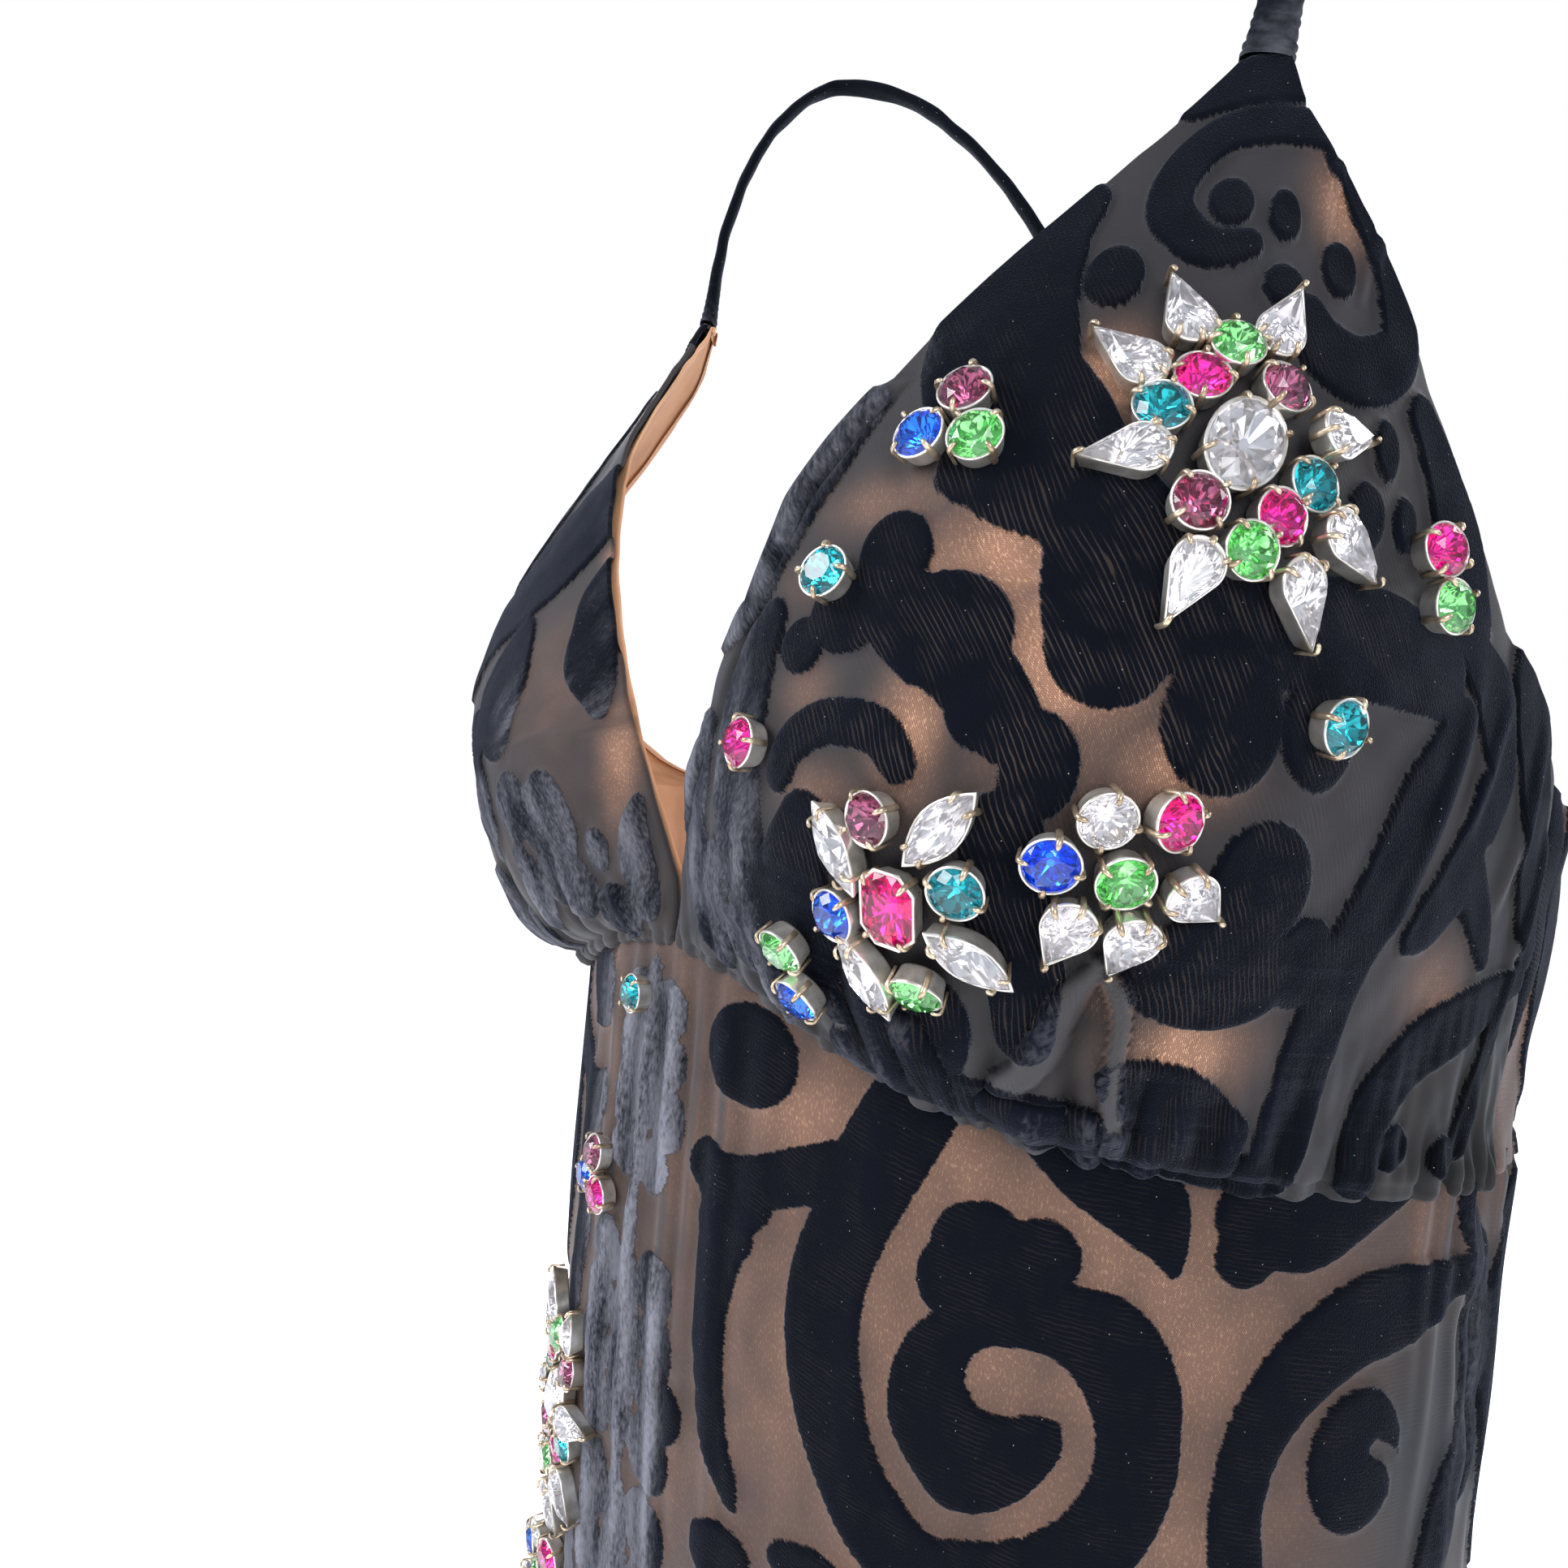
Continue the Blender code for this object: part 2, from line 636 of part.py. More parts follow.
def add_stones(group, surface):
    # Seat each stone of a group on its panel, link each one to its nearest
    # neighbour nearer the middle, and unite them into one body.
    panel = bpy.data.objects[group.panel]
    tree = BVHTree.FromObject(panel, bpy.context.evaluated_depsgraph_get())
    pieces = []
    centres = []
    for place in group.places:
        bearing = np.radians(place.bearing)
        angle, height = walk(surface, group.angle, group.height,
                             place.distance * np.cos(bearing), place.distance * np.sin(bearing))
        here, length, width, outward = cloth_frame(surface, angle, height, place.turn)
        foot = seat(tree, here, (length, width, outward), CUTS[place.cut])
        frame = Matrix((length, width, outward)).transposed().to_4x4()
        frame.translation = foot
        piece = bpy.data.objects.new(group.name, stone_mesh(place.cut))
        piece.data.transform(frame)
        pieces.append(piece)
        centres.append((foot + outward * LINK_LEVEL, outward))
    for index in range(1, len(centres)):
        centre, outward = centres[index]
        nearest = min(centres[:index], key=lambda other: (other[0] - centre).length)
        link = bpy.data.objects.new(group.name + "_link", link_mesh(centre, nearest[0], outward))
        pieces.append(link)
    whole = pieces[0]
    whole.name = group.name
    gown.objects.link(whole)
    for piece in pieces[1:]:
        cutters.objects.link(piece)
        piece.hide_render = True
        piece.display_type = "WIRE"
    if len(pieces) > 1:
        unite = whole.modifiers.new("Unite", "BOOLEAN")
        unite.operation = "UNION"
        unite.solver = "EXACT"
        unite.operand_type = "COLLECTION"
        unite.collection = cutters
        view = bpy.context.evaluated_depsgraph_get()
        view.update()
        united = bpy.data.meshes.new_from_object(whole.evaluated_get(view))
        whole.modifiers.clear()
        whole.data = united
    for piece in pieces[1:]:
        bpy.data.objects.remove(piece)
    whole.data.materials.clear()
    whole.data.materials.append(material("stones", group.name))


def build_cups():
    for side, word in ((1, "left"), (-1, "right")):
        velvet = cup_grid(velvet_cup, CUP_COLUMNS, side, SEAM_ANGLE)
        add_panel("cup_" + word, velvet, VELVET, 0.0, "velvet", side < 0)
        plain = cup_grid(plain_cup, CUP_LINING_COLUMNS, side, LINING_SEAM_ANGLE)
        add_panel("cup_lining_" + word, plain, LINING, VELVET + LINING_EASE, "lining", side < 0)


def build_back():
    for side, word in ((1, "left"), (-1, "right")):
        velvet = back_grid(BACK_COLUMNS, side, SEAM_ANGLE)
        add_panel("back_" + word, velvet, VELVET, 0.0, "velvet", side < 0)
        plain = back_grid(BACK_LINING_COLUMNS, side, LINING_SEAM_ANGLE)
        add_panel("back_lining_" + word, plain, LINING, VELVET + LINING_EASE, "lining", side < 0)


def build_straps():
    for side, word in ((1, "left"), (-1, "right")):
        add_panel("strap_" + word, strap_grid(side), STRAP_THICK, 0.0, "velvet", side < 0)


def build_skirt():
    panels = (("front", -SIDE_SEAM, SIDE_SEAM), ("back", SIDE_SEAM, 360.0 - SIDE_SEAM))
    for word, start, end in panels:
        velvet = skirt_grid(velvet_skirt, SKIRT_COLUMNS, start, end, SKIRT_LENGTH, SEAM_ANGLE)
        add_panel("skirt_" + word, velvet, VELVET, 0.0, "velvet")
        plain = skirt_grid(plain_skirt, SKIRT_LINING_COLUMNS, start, end,
                           SKIRT_LENGTH - LINING_SHORT, LINING_SEAM_ANGLE)
        add_panel("skirt_lining_" + word, plain, LINING, VELVET + LINING_EASE, "lining")


for old in list(bpy.data.objects):
    bpy.data.objects.remove(old)
gown = bpy.data.collections.new("velvet_gown")
cutters = bpy.data.collections.new("velvet_gown_cutters")
bpy.context.scene.collection.children.link(gown)
bpy.context.scene.collection.children.link(cutters)
build_cups()
build_back()
build_straps()
build_skirt()
for stone_group in GROUPS:
    on_cup = stone_group.panel.startswith("cup")
    add_stones(stone_group, plain_cup if on_cup else plain_skirt)
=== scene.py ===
import math
import bpy
import numpy as np
from mathutils import Matrix, Vector
from mathutils.bvhtree import BVHTree


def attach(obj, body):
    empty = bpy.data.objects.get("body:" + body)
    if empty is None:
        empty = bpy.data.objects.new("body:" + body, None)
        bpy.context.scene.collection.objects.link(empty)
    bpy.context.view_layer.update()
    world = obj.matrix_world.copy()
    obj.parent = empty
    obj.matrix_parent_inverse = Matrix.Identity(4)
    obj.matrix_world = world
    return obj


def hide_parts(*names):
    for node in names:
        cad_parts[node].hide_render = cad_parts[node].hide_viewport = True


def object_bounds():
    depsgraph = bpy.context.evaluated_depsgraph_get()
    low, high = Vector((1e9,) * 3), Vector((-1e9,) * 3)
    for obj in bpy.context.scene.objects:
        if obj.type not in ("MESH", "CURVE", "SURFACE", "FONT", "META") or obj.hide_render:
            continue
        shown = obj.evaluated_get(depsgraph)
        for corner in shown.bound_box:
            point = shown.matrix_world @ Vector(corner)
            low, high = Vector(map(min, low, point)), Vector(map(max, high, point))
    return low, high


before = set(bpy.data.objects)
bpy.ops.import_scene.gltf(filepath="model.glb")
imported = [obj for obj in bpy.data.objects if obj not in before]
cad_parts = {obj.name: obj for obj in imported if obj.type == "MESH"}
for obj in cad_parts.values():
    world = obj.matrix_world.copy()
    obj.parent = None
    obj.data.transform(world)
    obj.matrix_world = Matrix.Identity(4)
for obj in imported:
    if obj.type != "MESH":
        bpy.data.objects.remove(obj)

# Velvet gown: devoré cups, straps, back band and skirt over a tan lining, with sewn-on stones.
# Metres, +Z up, front to -Y. A place on the cloth is an angle round the body (0 front,
# 90 the wearer's left) and a height above the lowest level of the under bust seam.
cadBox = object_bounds()
print("frame loaded:", len(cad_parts), "nodes")

gown = {
    "strapTop": 0.300,
    "skirtLength": 1.100,
    "cupTip": 0.204,
    "sideSeam": 93.0,
    "seamGap": 0.065,       # degrees from each seam to the velvet's edge, then to the lining's
    "liningGap": 0.5,
    "liningInset": 0.0026,  # the lining hangs this far inside the velvet
    "liningShort": 0.030,
    "seamPeak": 0.022,
    "seamPeakSpread": 28.0,
    "seamSideDrop": 0.009,
}
figure = {
    "height": [-1.1, -0.7, -0.45, -0.3, -0.2, -0.12, -0.06, 0.0, 0.07, 0.15, 0.204],
    "halfWidth": [0.31, 0.23, 0.191, 0.168, 0.149, 0.134, 0.134, 0.135, 0.14, 0.134, 0.125],
    "front": [0.27, 0.19, 0.146, 0.125, 0.115, 0.112, 0.111, 0.107, 0.106, 0.094, 0.076],
    "back": [0.285, 0.195, 0.15, 0.125, 0.107, 0.095, 0.099, 0.101, 0.113, 0.107, 0.097],
}
bust = {
    "angle": 36.0,
    "height": 0.072,
    "spread": 27.0,
    "reach": 0.150,
    "rise": {1: 0.039, -1: 0.038},  # on the wearer's left (1) and right (-1)
    "fade": {1: 1.6, -1: 3.5},
    "lean": {1: 0.0, -1: 9.3},
}


# Camera, light and floor

cameraSet = {
    "turn": 53.5,  # round towards the wearer's left
    "pitch": 2.6,  # downwards
    "roll": 3.1,
    "back": 0.3334,
    "aside": 0.0623,
    "height": 0.0717,  # above the under bust seam
    "lens": 26.28,
}


def makeCamera():
    turn, pitch, roll = (math.radians(cameraSet[k]) for k in ("turn", "pitch", "roll"))
    ahead = Vector((-math.sin(turn), math.cos(turn), 0.0))
    aside = Vector((math.cos(turn), math.sin(turn), 0.0))
    up = Vector((0.0, 0.0, 1.0))
    look = ahead * math.cos(pitch) - up * math.sin(pitch)
    lift = ahead * math.sin(pitch) + up * math.cos(pitch)
    right = aside * math.cos(roll) + lift * math.sin(roll)
    top = lift * math.cos(roll) - aside * math.sin(roll)
    cam = bpy.data.cameras.new("camera")
    cam.lens = cameraSet["lens"]
    cam.clip_start = 0.01
    made = bpy.data.objects.new("camera", cam)
    bpy.context.scene.collection.objects.link(made)
    made.matrix_world = Matrix((right, top, -look)).transposed().to_4x4()
    place = up * (cameraSet["height"] - gown["strapTop"])
    place -= ahead * cameraSet["back"]
    place -= aside * cameraSet["aside"]
    made.matrix_world.translation = place
    bpy.context.scene.camera = made


lightAim = (0.0, 0.0, -0.35)
lightSet = {  # place, size and power of each softbox, all aimed at the bodice
    "key": {"at": (-0.9, -1.9, 0.9), "size": 1.3, "power": 46.0},
    "side": {"at": (1.9, -0.9, 0.5), "size": 1.2, "power": 26.0},
    "rim": {"at": (-1.7, 0.9, 0.6), "size": 1.2, "power": 30.0},
    "back": {"at": (0.8, 2.0, 0.9), "size": 1.5, "power": 26.0},
}


def makeLights():
    for name, s in lightSet.items():
        lamp = bpy.data.lights.new(name, "AREA")
        lamp.shape = "DISK"
        lamp.size = s["size"]
        lamp.energy = s["power"]
        made = bpy.data.objects.new(name, lamp)
        bpy.context.scene.collection.objects.link(made)
        made.location = s["at"]
        aim = Vector(lightAim) - made.location
        made.rotation_euler = aim.to_track_quat("-Z", "Y").to_euler()
        made.visible_camera = False


worldSet = {
    "backdrop": (1.0, 1.0, 1.0, 1.0),  # what the camera sees
    "fill": (0.80, 0.88, 1.0, 1.0),    # what lights the gown
    "fillPower": 0.55,
}


def makeWorld():
    bpy.context.scene.view_settings.view_transform = "Standard"
    world = bpy.data.worlds.new("studio")
    world.use_nodes = True
    bpy.context.scene.world = world
    tree = world.node_tree
    tree.nodes.clear()
    out = tree.nodes.new("ShaderNodeOutputWorld")
    mix = tree.nodes.new("ShaderNodeMixShader")
    rays = tree.nodes.new("ShaderNodeLightPath")
    seen = tree.nodes.new("ShaderNodeBackground")
    lit = tree.nodes.new("ShaderNodeBackground")
    seen.inputs["Color"].default_value = worldSet["backdrop"]
    lit.inputs["Color"].default_value = worldSet["fill"]
    lit.inputs["Strength"].default_value = worldSet["fillPower"]
    tree.links.new(rays.outputs["Is Camera Ray"], mix.inputs[0])
    tree.links.new(lit.outputs[0], mix.inputs[1])
    tree.links.new(seen.outputs[0], mix.inputs[2])
    tree.links.new(mix.outputs[0], out.inputs[0])


# Node helpers

def newMaterial(name):
    made = bpy.data.materials.new(name)
    made.use_nodes = True
    made.node_tree.nodes.clear()
    return made, made.node_tree


def feed(tree, socket, value):
    # A socket takes a link or a fixed value; a colour of three numbers is made opaque.
    if isinstance(value, bpy.types.NodeSocket):
        tree.links.new(value, socket)
    elif isinstance(value, tuple) and len(value) == 3 and socket.type == "RGBA":
        socket.default_value = (*value, 1.0)
    else:
        socket.default_value = value


def put(tree, kind, settings=None, **sockets):
    made = tree.nodes.new("ShaderNode" + kind)
    for key, value in (settings or {}).items():
        setattr(made, key, value)
    for key, value in sockets.items():
        feed(tree, made.inputs[key.replace("_", " ")], value)
    return made


def maths(tree, operation, first, second=0.0, third=0.0, clamp=False):
    made = tree.nodes.new("ShaderNodeMath")
    made.operation = operation
    made.use_clamp = clamp
    for socket, value in zip(made.inputs, (first, second, third)):
        feed(tree, socket, value)
    return made.outputs[0]


def times(tree, first, second):
    return maths(tree, "MULTIPLY", first, second)


def scaled(tree, value, factor, shift):
    return maths(tree, "MULTIPLY_ADD", value, factor, shift)


def blendColour(tree, factor, first, second, way="MIX"):
    made = tree.nodes.new("ShaderNodeMix")
    made.data_type = "RGBA"
    made.blend_type = way
    for place, value in ((0, factor), (6, first), (7, second)):
        feed(tree, made.inputs[place], value)
    return made.outputs[2]


def step(tree, value, span):
    # Smooth rise from 0 to 1 between two values.
    low, high = span
    made = put(tree, "MapRange", {"interpolation_type": "SMOOTHSTEP"},
               Value=value, From_Min=low, From_Max=high)
    return made.outputs[0]


def surfaceOut(tree, shader):
    tree.links.new(shader.outputs[0], put(tree, "OutputMaterial").inputs[0])


def grain(tree, along, up, look):
    # Noise over the cloth: cells per centimetre along and up, detail, and how far it is shifted.
    alongScale, upScale, detail, shift = look
    place = put(tree, "CombineXYZ", None,
                X=scaled(tree, along, alongScale, shift), Y=times(tree, up, upScale))
    noise = put(tree, "TexNoise", {"noise_dimensions": "2D"}, Vector=place.outputs[0], Scale=1.0,
                Detail=detail)
    return noise.outputs["Fac"]


def markOf(tree, name):
    return put(tree, "Attribute", {"attribute_name": name}).outputs["Fac"]


def clothPlace(tree):
    # Place on the flat cloth in centimetres.
    flat = put(tree, "UVMap", {"uv_map": "cloth"}).outputs[0]
    apart = put(tree, "SeparateXYZ", None, Vector=flat)
    return apart.outputs["X"], apart.outputs["Y"]


floorSet = {"size": 12.0, "drop": 0.002, "pale": (0.93, 0.93, 0.93), "roughness": 0.9, "glow": 0.85}


def makeFloor():
    made, tree = newMaterial("paleFloor")
    surfaceOut(tree, put(tree, "BsdfPrincipled", None, Base_Color=floorSet["pale"],
                         Roughness=floorSet["roughness"], Emission_Color=(1.0, 1.0, 1.0),
                         Emission_Strength=floorSet["glow"]))
    below = (0.0, 0.0, cadBox[0][2] - floorSet["drop"])
    bpy.ops.mesh.primitive_plane_add(size=floorSet["size"], location=below)
    floor = bpy.context.object
    floor.name = "floor"
    floor.data.materials.append(made)


# Velvet: pile figures burnt out to a sheer ground that shows the lining

velvetLook = {
    "deep": (0.0030, 0.0040, 0.0078),
    # grey sheen of crushed pile, painted into the colour
    "crushed": (0.150, 0.150, 0.178),
    "rowGap": (0.085, 0.062, 0.050),
    "fleck": (0.35, 0.34, 0.33),
    "groundDark": (0.018, 0.0185, 0.022),
    "groundTan": (0.310, 0.160, 0.102),
    # where folds stand highest the cloth lies double, so less lining shows; its lighter grey is painted
    # light
    "groundDoubleAndCrestLight": (0.045, 0.043, 0.046),
    # colour of the painted glints
    "sparkle": (0.62, 0.36, 0.22),
    "rowPitch": 0.095,      # cm between the rows of the pile
    "twillPitch": 0.042,    # cm between the slanting threads of the ground
    "crossPitch": 0.036,    # cm between those across them
    "twillLean": 0.7,
    "edgeTeeth": 0.45,      # mm that the pile's rows run over a figure's edge
    "edgeFuzz": 0.6,        # mm
    "foldLight": 0.70,      # painted light and shade: how much lighter raised folds, and darker sunk ones, are than the cloth round them
    "foldNap": 0.13,        # painted highlight: how much crushed grey is laid on the crests of folds
    "rowShow": 0.65,        # how much of the backing shows in an open row
    "rowSink": 0.16,        # share of the pile's height that an open row is sunk
    "lintCells": 1.9,       # flecks of lint for each centimetre
    "weaveHigh": 0.035,     # mm
    "bump": 0.85,
    "pile": {"Roughness": 0.92, "Sheen_Weight": 1.0, "Sheen_Roughness": 0.30,
             "Sheen_Tint": (0.078, 0.088, 0.116), "Specular_IOR_Level": 0.06},
    "ground": {"Roughness": 0.62, "Sheen_Weight": 0.30, "Sheen_Roughness": 0.40,
               "Sheen_Tint": (0.34, 0.36, 0.42), "Specular_IOR_Level": 0.22},
}
velvetGrain = {  # cells per centimetre along and up the cloth, detail and shift
    "drift": (0.28, 0.28, 1.0, 0.0),
    "teeth": (1.6, 1.0 / velvetLook["rowPitch"], 1.0, 3.1),
    "fuzz": (26.0, 26.0, 2.0, 9.4),
    "wobble": (3.0, 8.0, 1.0, 7.7),
    "patch": (1.1, 0.9, 2.0, 1.3),
    "broad": (1.3, 0.35, 2.0, 5.2),
    "fibre": (11.0, 5.0, 4.0, 8.8),
    "fine": (34.0, 20.0, 2.0, 2.2),
    "cloud": (0.55, 0.40, 2.0, 6.6),
    "glint": (22.0, 9.0, 2.0, 4.9),
}
velvetSteps = {  # where each soft edge starts and ends
    "mask": (-0.12, 0.30),
    "openRow": (0.35, 1.0),
    "patch": (0.38, 0.66),
    "napSheen": (0.18, 0.98),
    "crestHighlight": (0.55, 1.35),
    "lint": (0.024, 0.012),
    "lintPick": (0.55, 1.0),
    "double": (0.15, 0.85),
    "glint": (0.585, 0.76),
}


def makeVelvet(name):
    look, steps = velvetLook, velvetSteps
    made, tree = newMaterial(name)
    along, up = clothPlace(tree)
    noise = {word: grain(tree, along, up, velvetGrain[word])
             for word in ("drift", "fuzz", "patch", "broad", "fibre", "fine", "cloud", "glint")}
    rowPlace = scaled(tree, noise["drift"], 0.5, markOf(tree, "row"))

    # the edge of a figure: rows end unevenly, then fine fuzz
    teeth = maths(tree, "SUBTRACT", grain(tree, along, rowPlace, velvetGrain["teeth"]), 0.5)
    fuzz = maths(tree, "SUBTRACT", noise["fuzz"], 0.5)
    inside = scaled(tree, teeth, 2.0 * look["edgeTeeth"], times(tree, fuzz, look["edgeFuzz"]))
    mask = step(tree, maths(tree, "ADD", markOf(tree, "pile"), inside), steps["mask"])

    # pile: rows open where the cloth is stretched, and the nap is crushed in patches, its grey sheen painted
    # into the colour
    wobble = times(tree, grain(tree, along, rowPlace, velvetGrain["wobble"]), 5.0)
    rows = maths(tree, "SINE", scaled(tree, rowPlace, math.tau / look["rowPitch"], wobble))
    openRows = times(tree, step(tree, rows, steps["openRow"]), markOf(tree, "stretch"))
    openRows = times(tree, openRows, step(tree, noise["patch"], steps["patch"]))
    broad = maths(tree, "SUBTRACT", noise["broad"], 0.5)
    fibre = maths(tree, "SUBTRACT", noise["fibre"], 0.5)
    # crushed nap in patches, its grey sheen painted into the colour
    napSheen = scaled(tree, broad, 1.3, scaled(tree, fibre, 0.8, 0.70))
    napSheen = step(tree, times(tree, markOf(tree, "crush"), napSheen), steps["napSheen"])
    fold = markOf(tree, "fold")
    # painted highlight: crushed grey laid on the crests of folds
    crestHighlight = step(tree, scaled(tree, fibre, 1.6, fold), steps["crestHighlight"])
    napSheen = maths(tree, "MAXIMUM", napSheen, times(tree, crestHighlight, look["foldNap"]))
    # painted light on raised folds, painted shade in sunk ones and where the cup is shaded
    lit = scaled(tree, fold, look["foldLight"], 1.0)
    pileColour = blendColour(tree, napSheen, look["deep"], look["crushed"])
    pileColour = blendColour(tree, 1.0, pileColour, lit, "MULTIPLY")
    pileColour = blendColour(tree, times(tree, openRows, look["rowShow"]), pileColour, look["rowGap"])
    lint = put(tree, "TexVoronoi", {"voronoi_dimensions": "2D"}, Scale=look["lintCells"],
               Vector=put(tree, "CombineXYZ", None, X=along, Y=up).outputs[0])
    pick = put(tree, "SeparateColor", None, Color=lint.outputs["Color"]).outputs[0]
    specks = step(tree, lint.outputs["Distance"], steps["lint"])
    specks = times(tree, specks, step(tree, pick, steps["lintPick"]))
    pileColour = blendColour(tree, specks, pileColour, look["fleck"])

    # ground: black gauze over the lining, with a fine slanting weave
    slant = scaled(tree, up, look["twillLean"], along)
    twill = maths(tree, "SINE", times(tree, slant, math.tau / look["twillPitch"]))
    cross = maths(tree, "SINE", times(tree, up, math.tau / look["crossPitch"]))
    weave = scaled(tree, maths(tree, "ADD", twill, cross), 0.25, 0.5)
    show = times(tree, markOf(tree, "show"), scaled(tree, noise["cloud"], 1.6, 0.20))
    # where folds stand highest the cloth lies double, so less lining shows; its lighter grey is painted
    # light
    doubleLayerAndCrestLight = step(tree, fold, steps["double"])  # the cloth lies double in a pleat
    show = maths(tree, "MULTIPLY", show, scaled(tree, doubleLayerAndCrestLight, -0.75, 1.0), clamp=True)
    tan = maths(tree, "MULTIPLY", show, scaled(tree, weave, 0.70, 0.58), clamp=True)
    groundColour = blendColour(tree, tan, look["groundDark"], look["groundTan"])
    # the same painted light and shade on the ground
    groundColour = blendColour(tree, 1.0, groundColour, lit, "MULTIPLY")
    groundColour = blendColour(tree, doubleLayerAndCrestLight, groundColour, look["groundDoubleAndCrestLight"])
    # painted glints on the weave, brightest where the lining shows
    glint = step(tree, scaled(tree, twill, 0.10, noise["glint"]), steps["glint"])
    glint = times(tree, glint, maths(tree, "POWER", show, 1.7))
    groundColour = blendColour(tree, glint, groundColour, look["sparkle"])

    # one relief for both: pile step, rows, nap and weave
    relief = times(tree, mask, scaled(tree, noise["fine"], 0.30, 0.55))
    relief = scaled(tree, openRows, -look["rowSink"], relief)
    bare = maths(tree, "SUBTRACT", 1.0, mask)
    relief = maths(tree, "ADD", relief, times(tree, bare, times(tree, weave, look["weaveHigh"])))
    bump = put(tree, "Bump", None, Strength=look["bump"], Distance=0.001, Height=relief).outputs[0]
    both = put(tree, "MixShader")
    tree.links.new(mask, both.inputs[0])
    for place, colour, word in ((1, groundColour, "ground"), (2, pileColour, "pile")):
        shine = put(tree, "BsdfPrincipled", None, Base_Color=colour, Normal=bump, **look[word])
        tree.links.new(shine.outputs[0], both.inputs[place])
    surfaceOut(tree, both)
    return made


liningLook = {
    "tan": (0.70, 0.36, 0.185),
    "shade": (0.53, 0.26, 0.125),
    "thread": (0.8, 0.55, 0.38),
    "pitch": 0.045,  # cm between its slanting threads
    "threadShow": 0.06,
    "threadHigh": 0.03,    # mm
    "wrinkleHigh": 0.35,   # mm
    "bump": 0.6,
    "cloudEdge": (0.35, 0.7),
    "cloud": (0.5, 0.25, 3.0, 1.0),
    "wrinkle": (2.4, 0.8, 3.0, 3.0),
    "finish": {"Roughness": 0.48, "Sheen_Weight": 0.10, "Sheen_Tint": (1.0, 0.75, 0.52)},
}


def makeLining():
    made, tree = newMaterial("tanLining")
    look = liningLook
    along, up = clothPlace(tree)
    cloud = step(tree, grain(tree, along, up, look["cloud"]), look["cloudEdge"])
    colour = blendColour(tree, cloud, look["shade"], look["tan"])
    slant = maths(tree, "SINE", times(tree, maths(tree, "ADD", along, up), math.tau / look["pitch"]))
    thread = scaled(tree, slant, look["threadShow"], look["threadShow"])
    colour = blendColour(tree, thread, colour, look["thread"])
    wrinkle = times(tree, grain(tree, along, up, look["wrinkle"]), look["wrinkleHigh"])
    bump = put(tree, "Bump", None, Strength=look["bump"], Distance=0.001,
               Height=scaled(tree, slant, look["threadHigh"], wrinkle))
    surfaceOut(tree, put(tree, "BsdfPrincipled", None, Base_Color=colour, Normal=bump.outputs[0],
                         **look["finish"]))
    return made


# The gown's figure, the same as the frame's, worked out for whole grids at once

def unit(value):
    return np.clip(value, 0.0, 1.0)


def bell(offset):
    return np.exp(-(offset**2))


def halfTurns(angle):
    # The same angle between -180 and 180.
    return (np.asarray(angle) + 180.0) % 360.0 - 180.0


def mirrored(points, side):
    return points * np.array([side, 1.0, 1.0])


def smoothLine(table, column, at):
    heights, values = np.array(table["height"]), np.array(table[column])
    slopes = np.gradient(values, heights)
    at = np.clip(at, heights[0], heights[-1])
    low = np.clip(np.searchsorted(heights, at) - 1, 0, len(heights) - 2)
    span = heights[low + 1] - heights[low]
    s = (at - heights[low]) / span
    start = (2 * s**3 - 3 * s**2 + 1) * values[low] + (s**3 - 2 * s**2 + s) * span * slopes[low]
    return start + (3 * s**2 - 2 * s**3) * values[low + 1] + (s**3 - s**2) * span * slopes[low + 1]


def seamHeight(angle):
    around = halfTurns(angle)
    peak = gown["seamPeak"] * bell(around / gown["seamPeakSpread"])
    return peak - gown["seamSideDrop"] * (1.0 - np.cos(np.radians(around)))


def figurePoint(angle, height, out=0.0):
    turn = np.radians(angle)
    width = smoothLine(figure, "halfWidth", height)
    depth = np.where(np.cos(turn) > 0.0, smoothLine(figure, "front", height),
                     smoothLine(figure, "back", height))
    nx, ny = np.sin(turn) / width, -np.cos(turn) / depth
    size = np.hypot(nx, ny)
    x = width * np.sin(turn) + nx / size * out
    y = -depth * np.cos(turn) + ny / size * out
    return np.stack([x, y, height - gown["strapTop"] + 0.0 * x], axis=-1)


def bustRise(angle, height, side=1):
    # How far a cup stands out from the figure. Angles run up from the centre front on either side.
    climb = np.maximum(height - bust["height"], 0.0)
    fullest = bust["angle"] + bust["lean"][side] * climb / (gown["cupTip"] - bust["height"])
    inner = np.sin(0.5 * np.pi * unit(angle / fullest)) ** 1.1
    outer = bell((angle - fullest) / bust["spread"])
    across = np.where(angle < fullest, inner, outer)
    low = np.minimum(height - bust["height"], 0.0) / (bust["height"] - seamHeight(angle))
    below = unit(1.0 - low**2) ** 0.6
    above = unit(1.0 - (climb / bust["reach"]) ** 2) ** bust["fade"][side]
    return bust["rise"][side] * across * below * above


def plainCup(angle, height, side=1):
    return figurePoint(angle, height, bustRise(angle, height, side))


def plainSkirt(angle, height):
    return figurePoint(angle, height)


def softNoise(x, y, size, seed, count=9):
    # Smooth wandering heights between about -1 and 1, the same each run.
    rng = np.random.default_rng(seed)
    total = 0.0
    for _ in range(count):
        turn = rng.uniform(0.0, math.tau)
        pace = math.tau / size * rng.uniform(0.6, 1.5)
        total = total + np.cos(pace * (x * math.cos(turn) + y * math.sin(turn)) + rng.uniform(0, math.tau))
    return total / math.sqrt(2.0 * count)


# Pattern: scrolls, leaves and dots, as places on the cloth (angle, height in mm) with
# half widths in mm. A figure of kind "cut" is taken out of those before it.

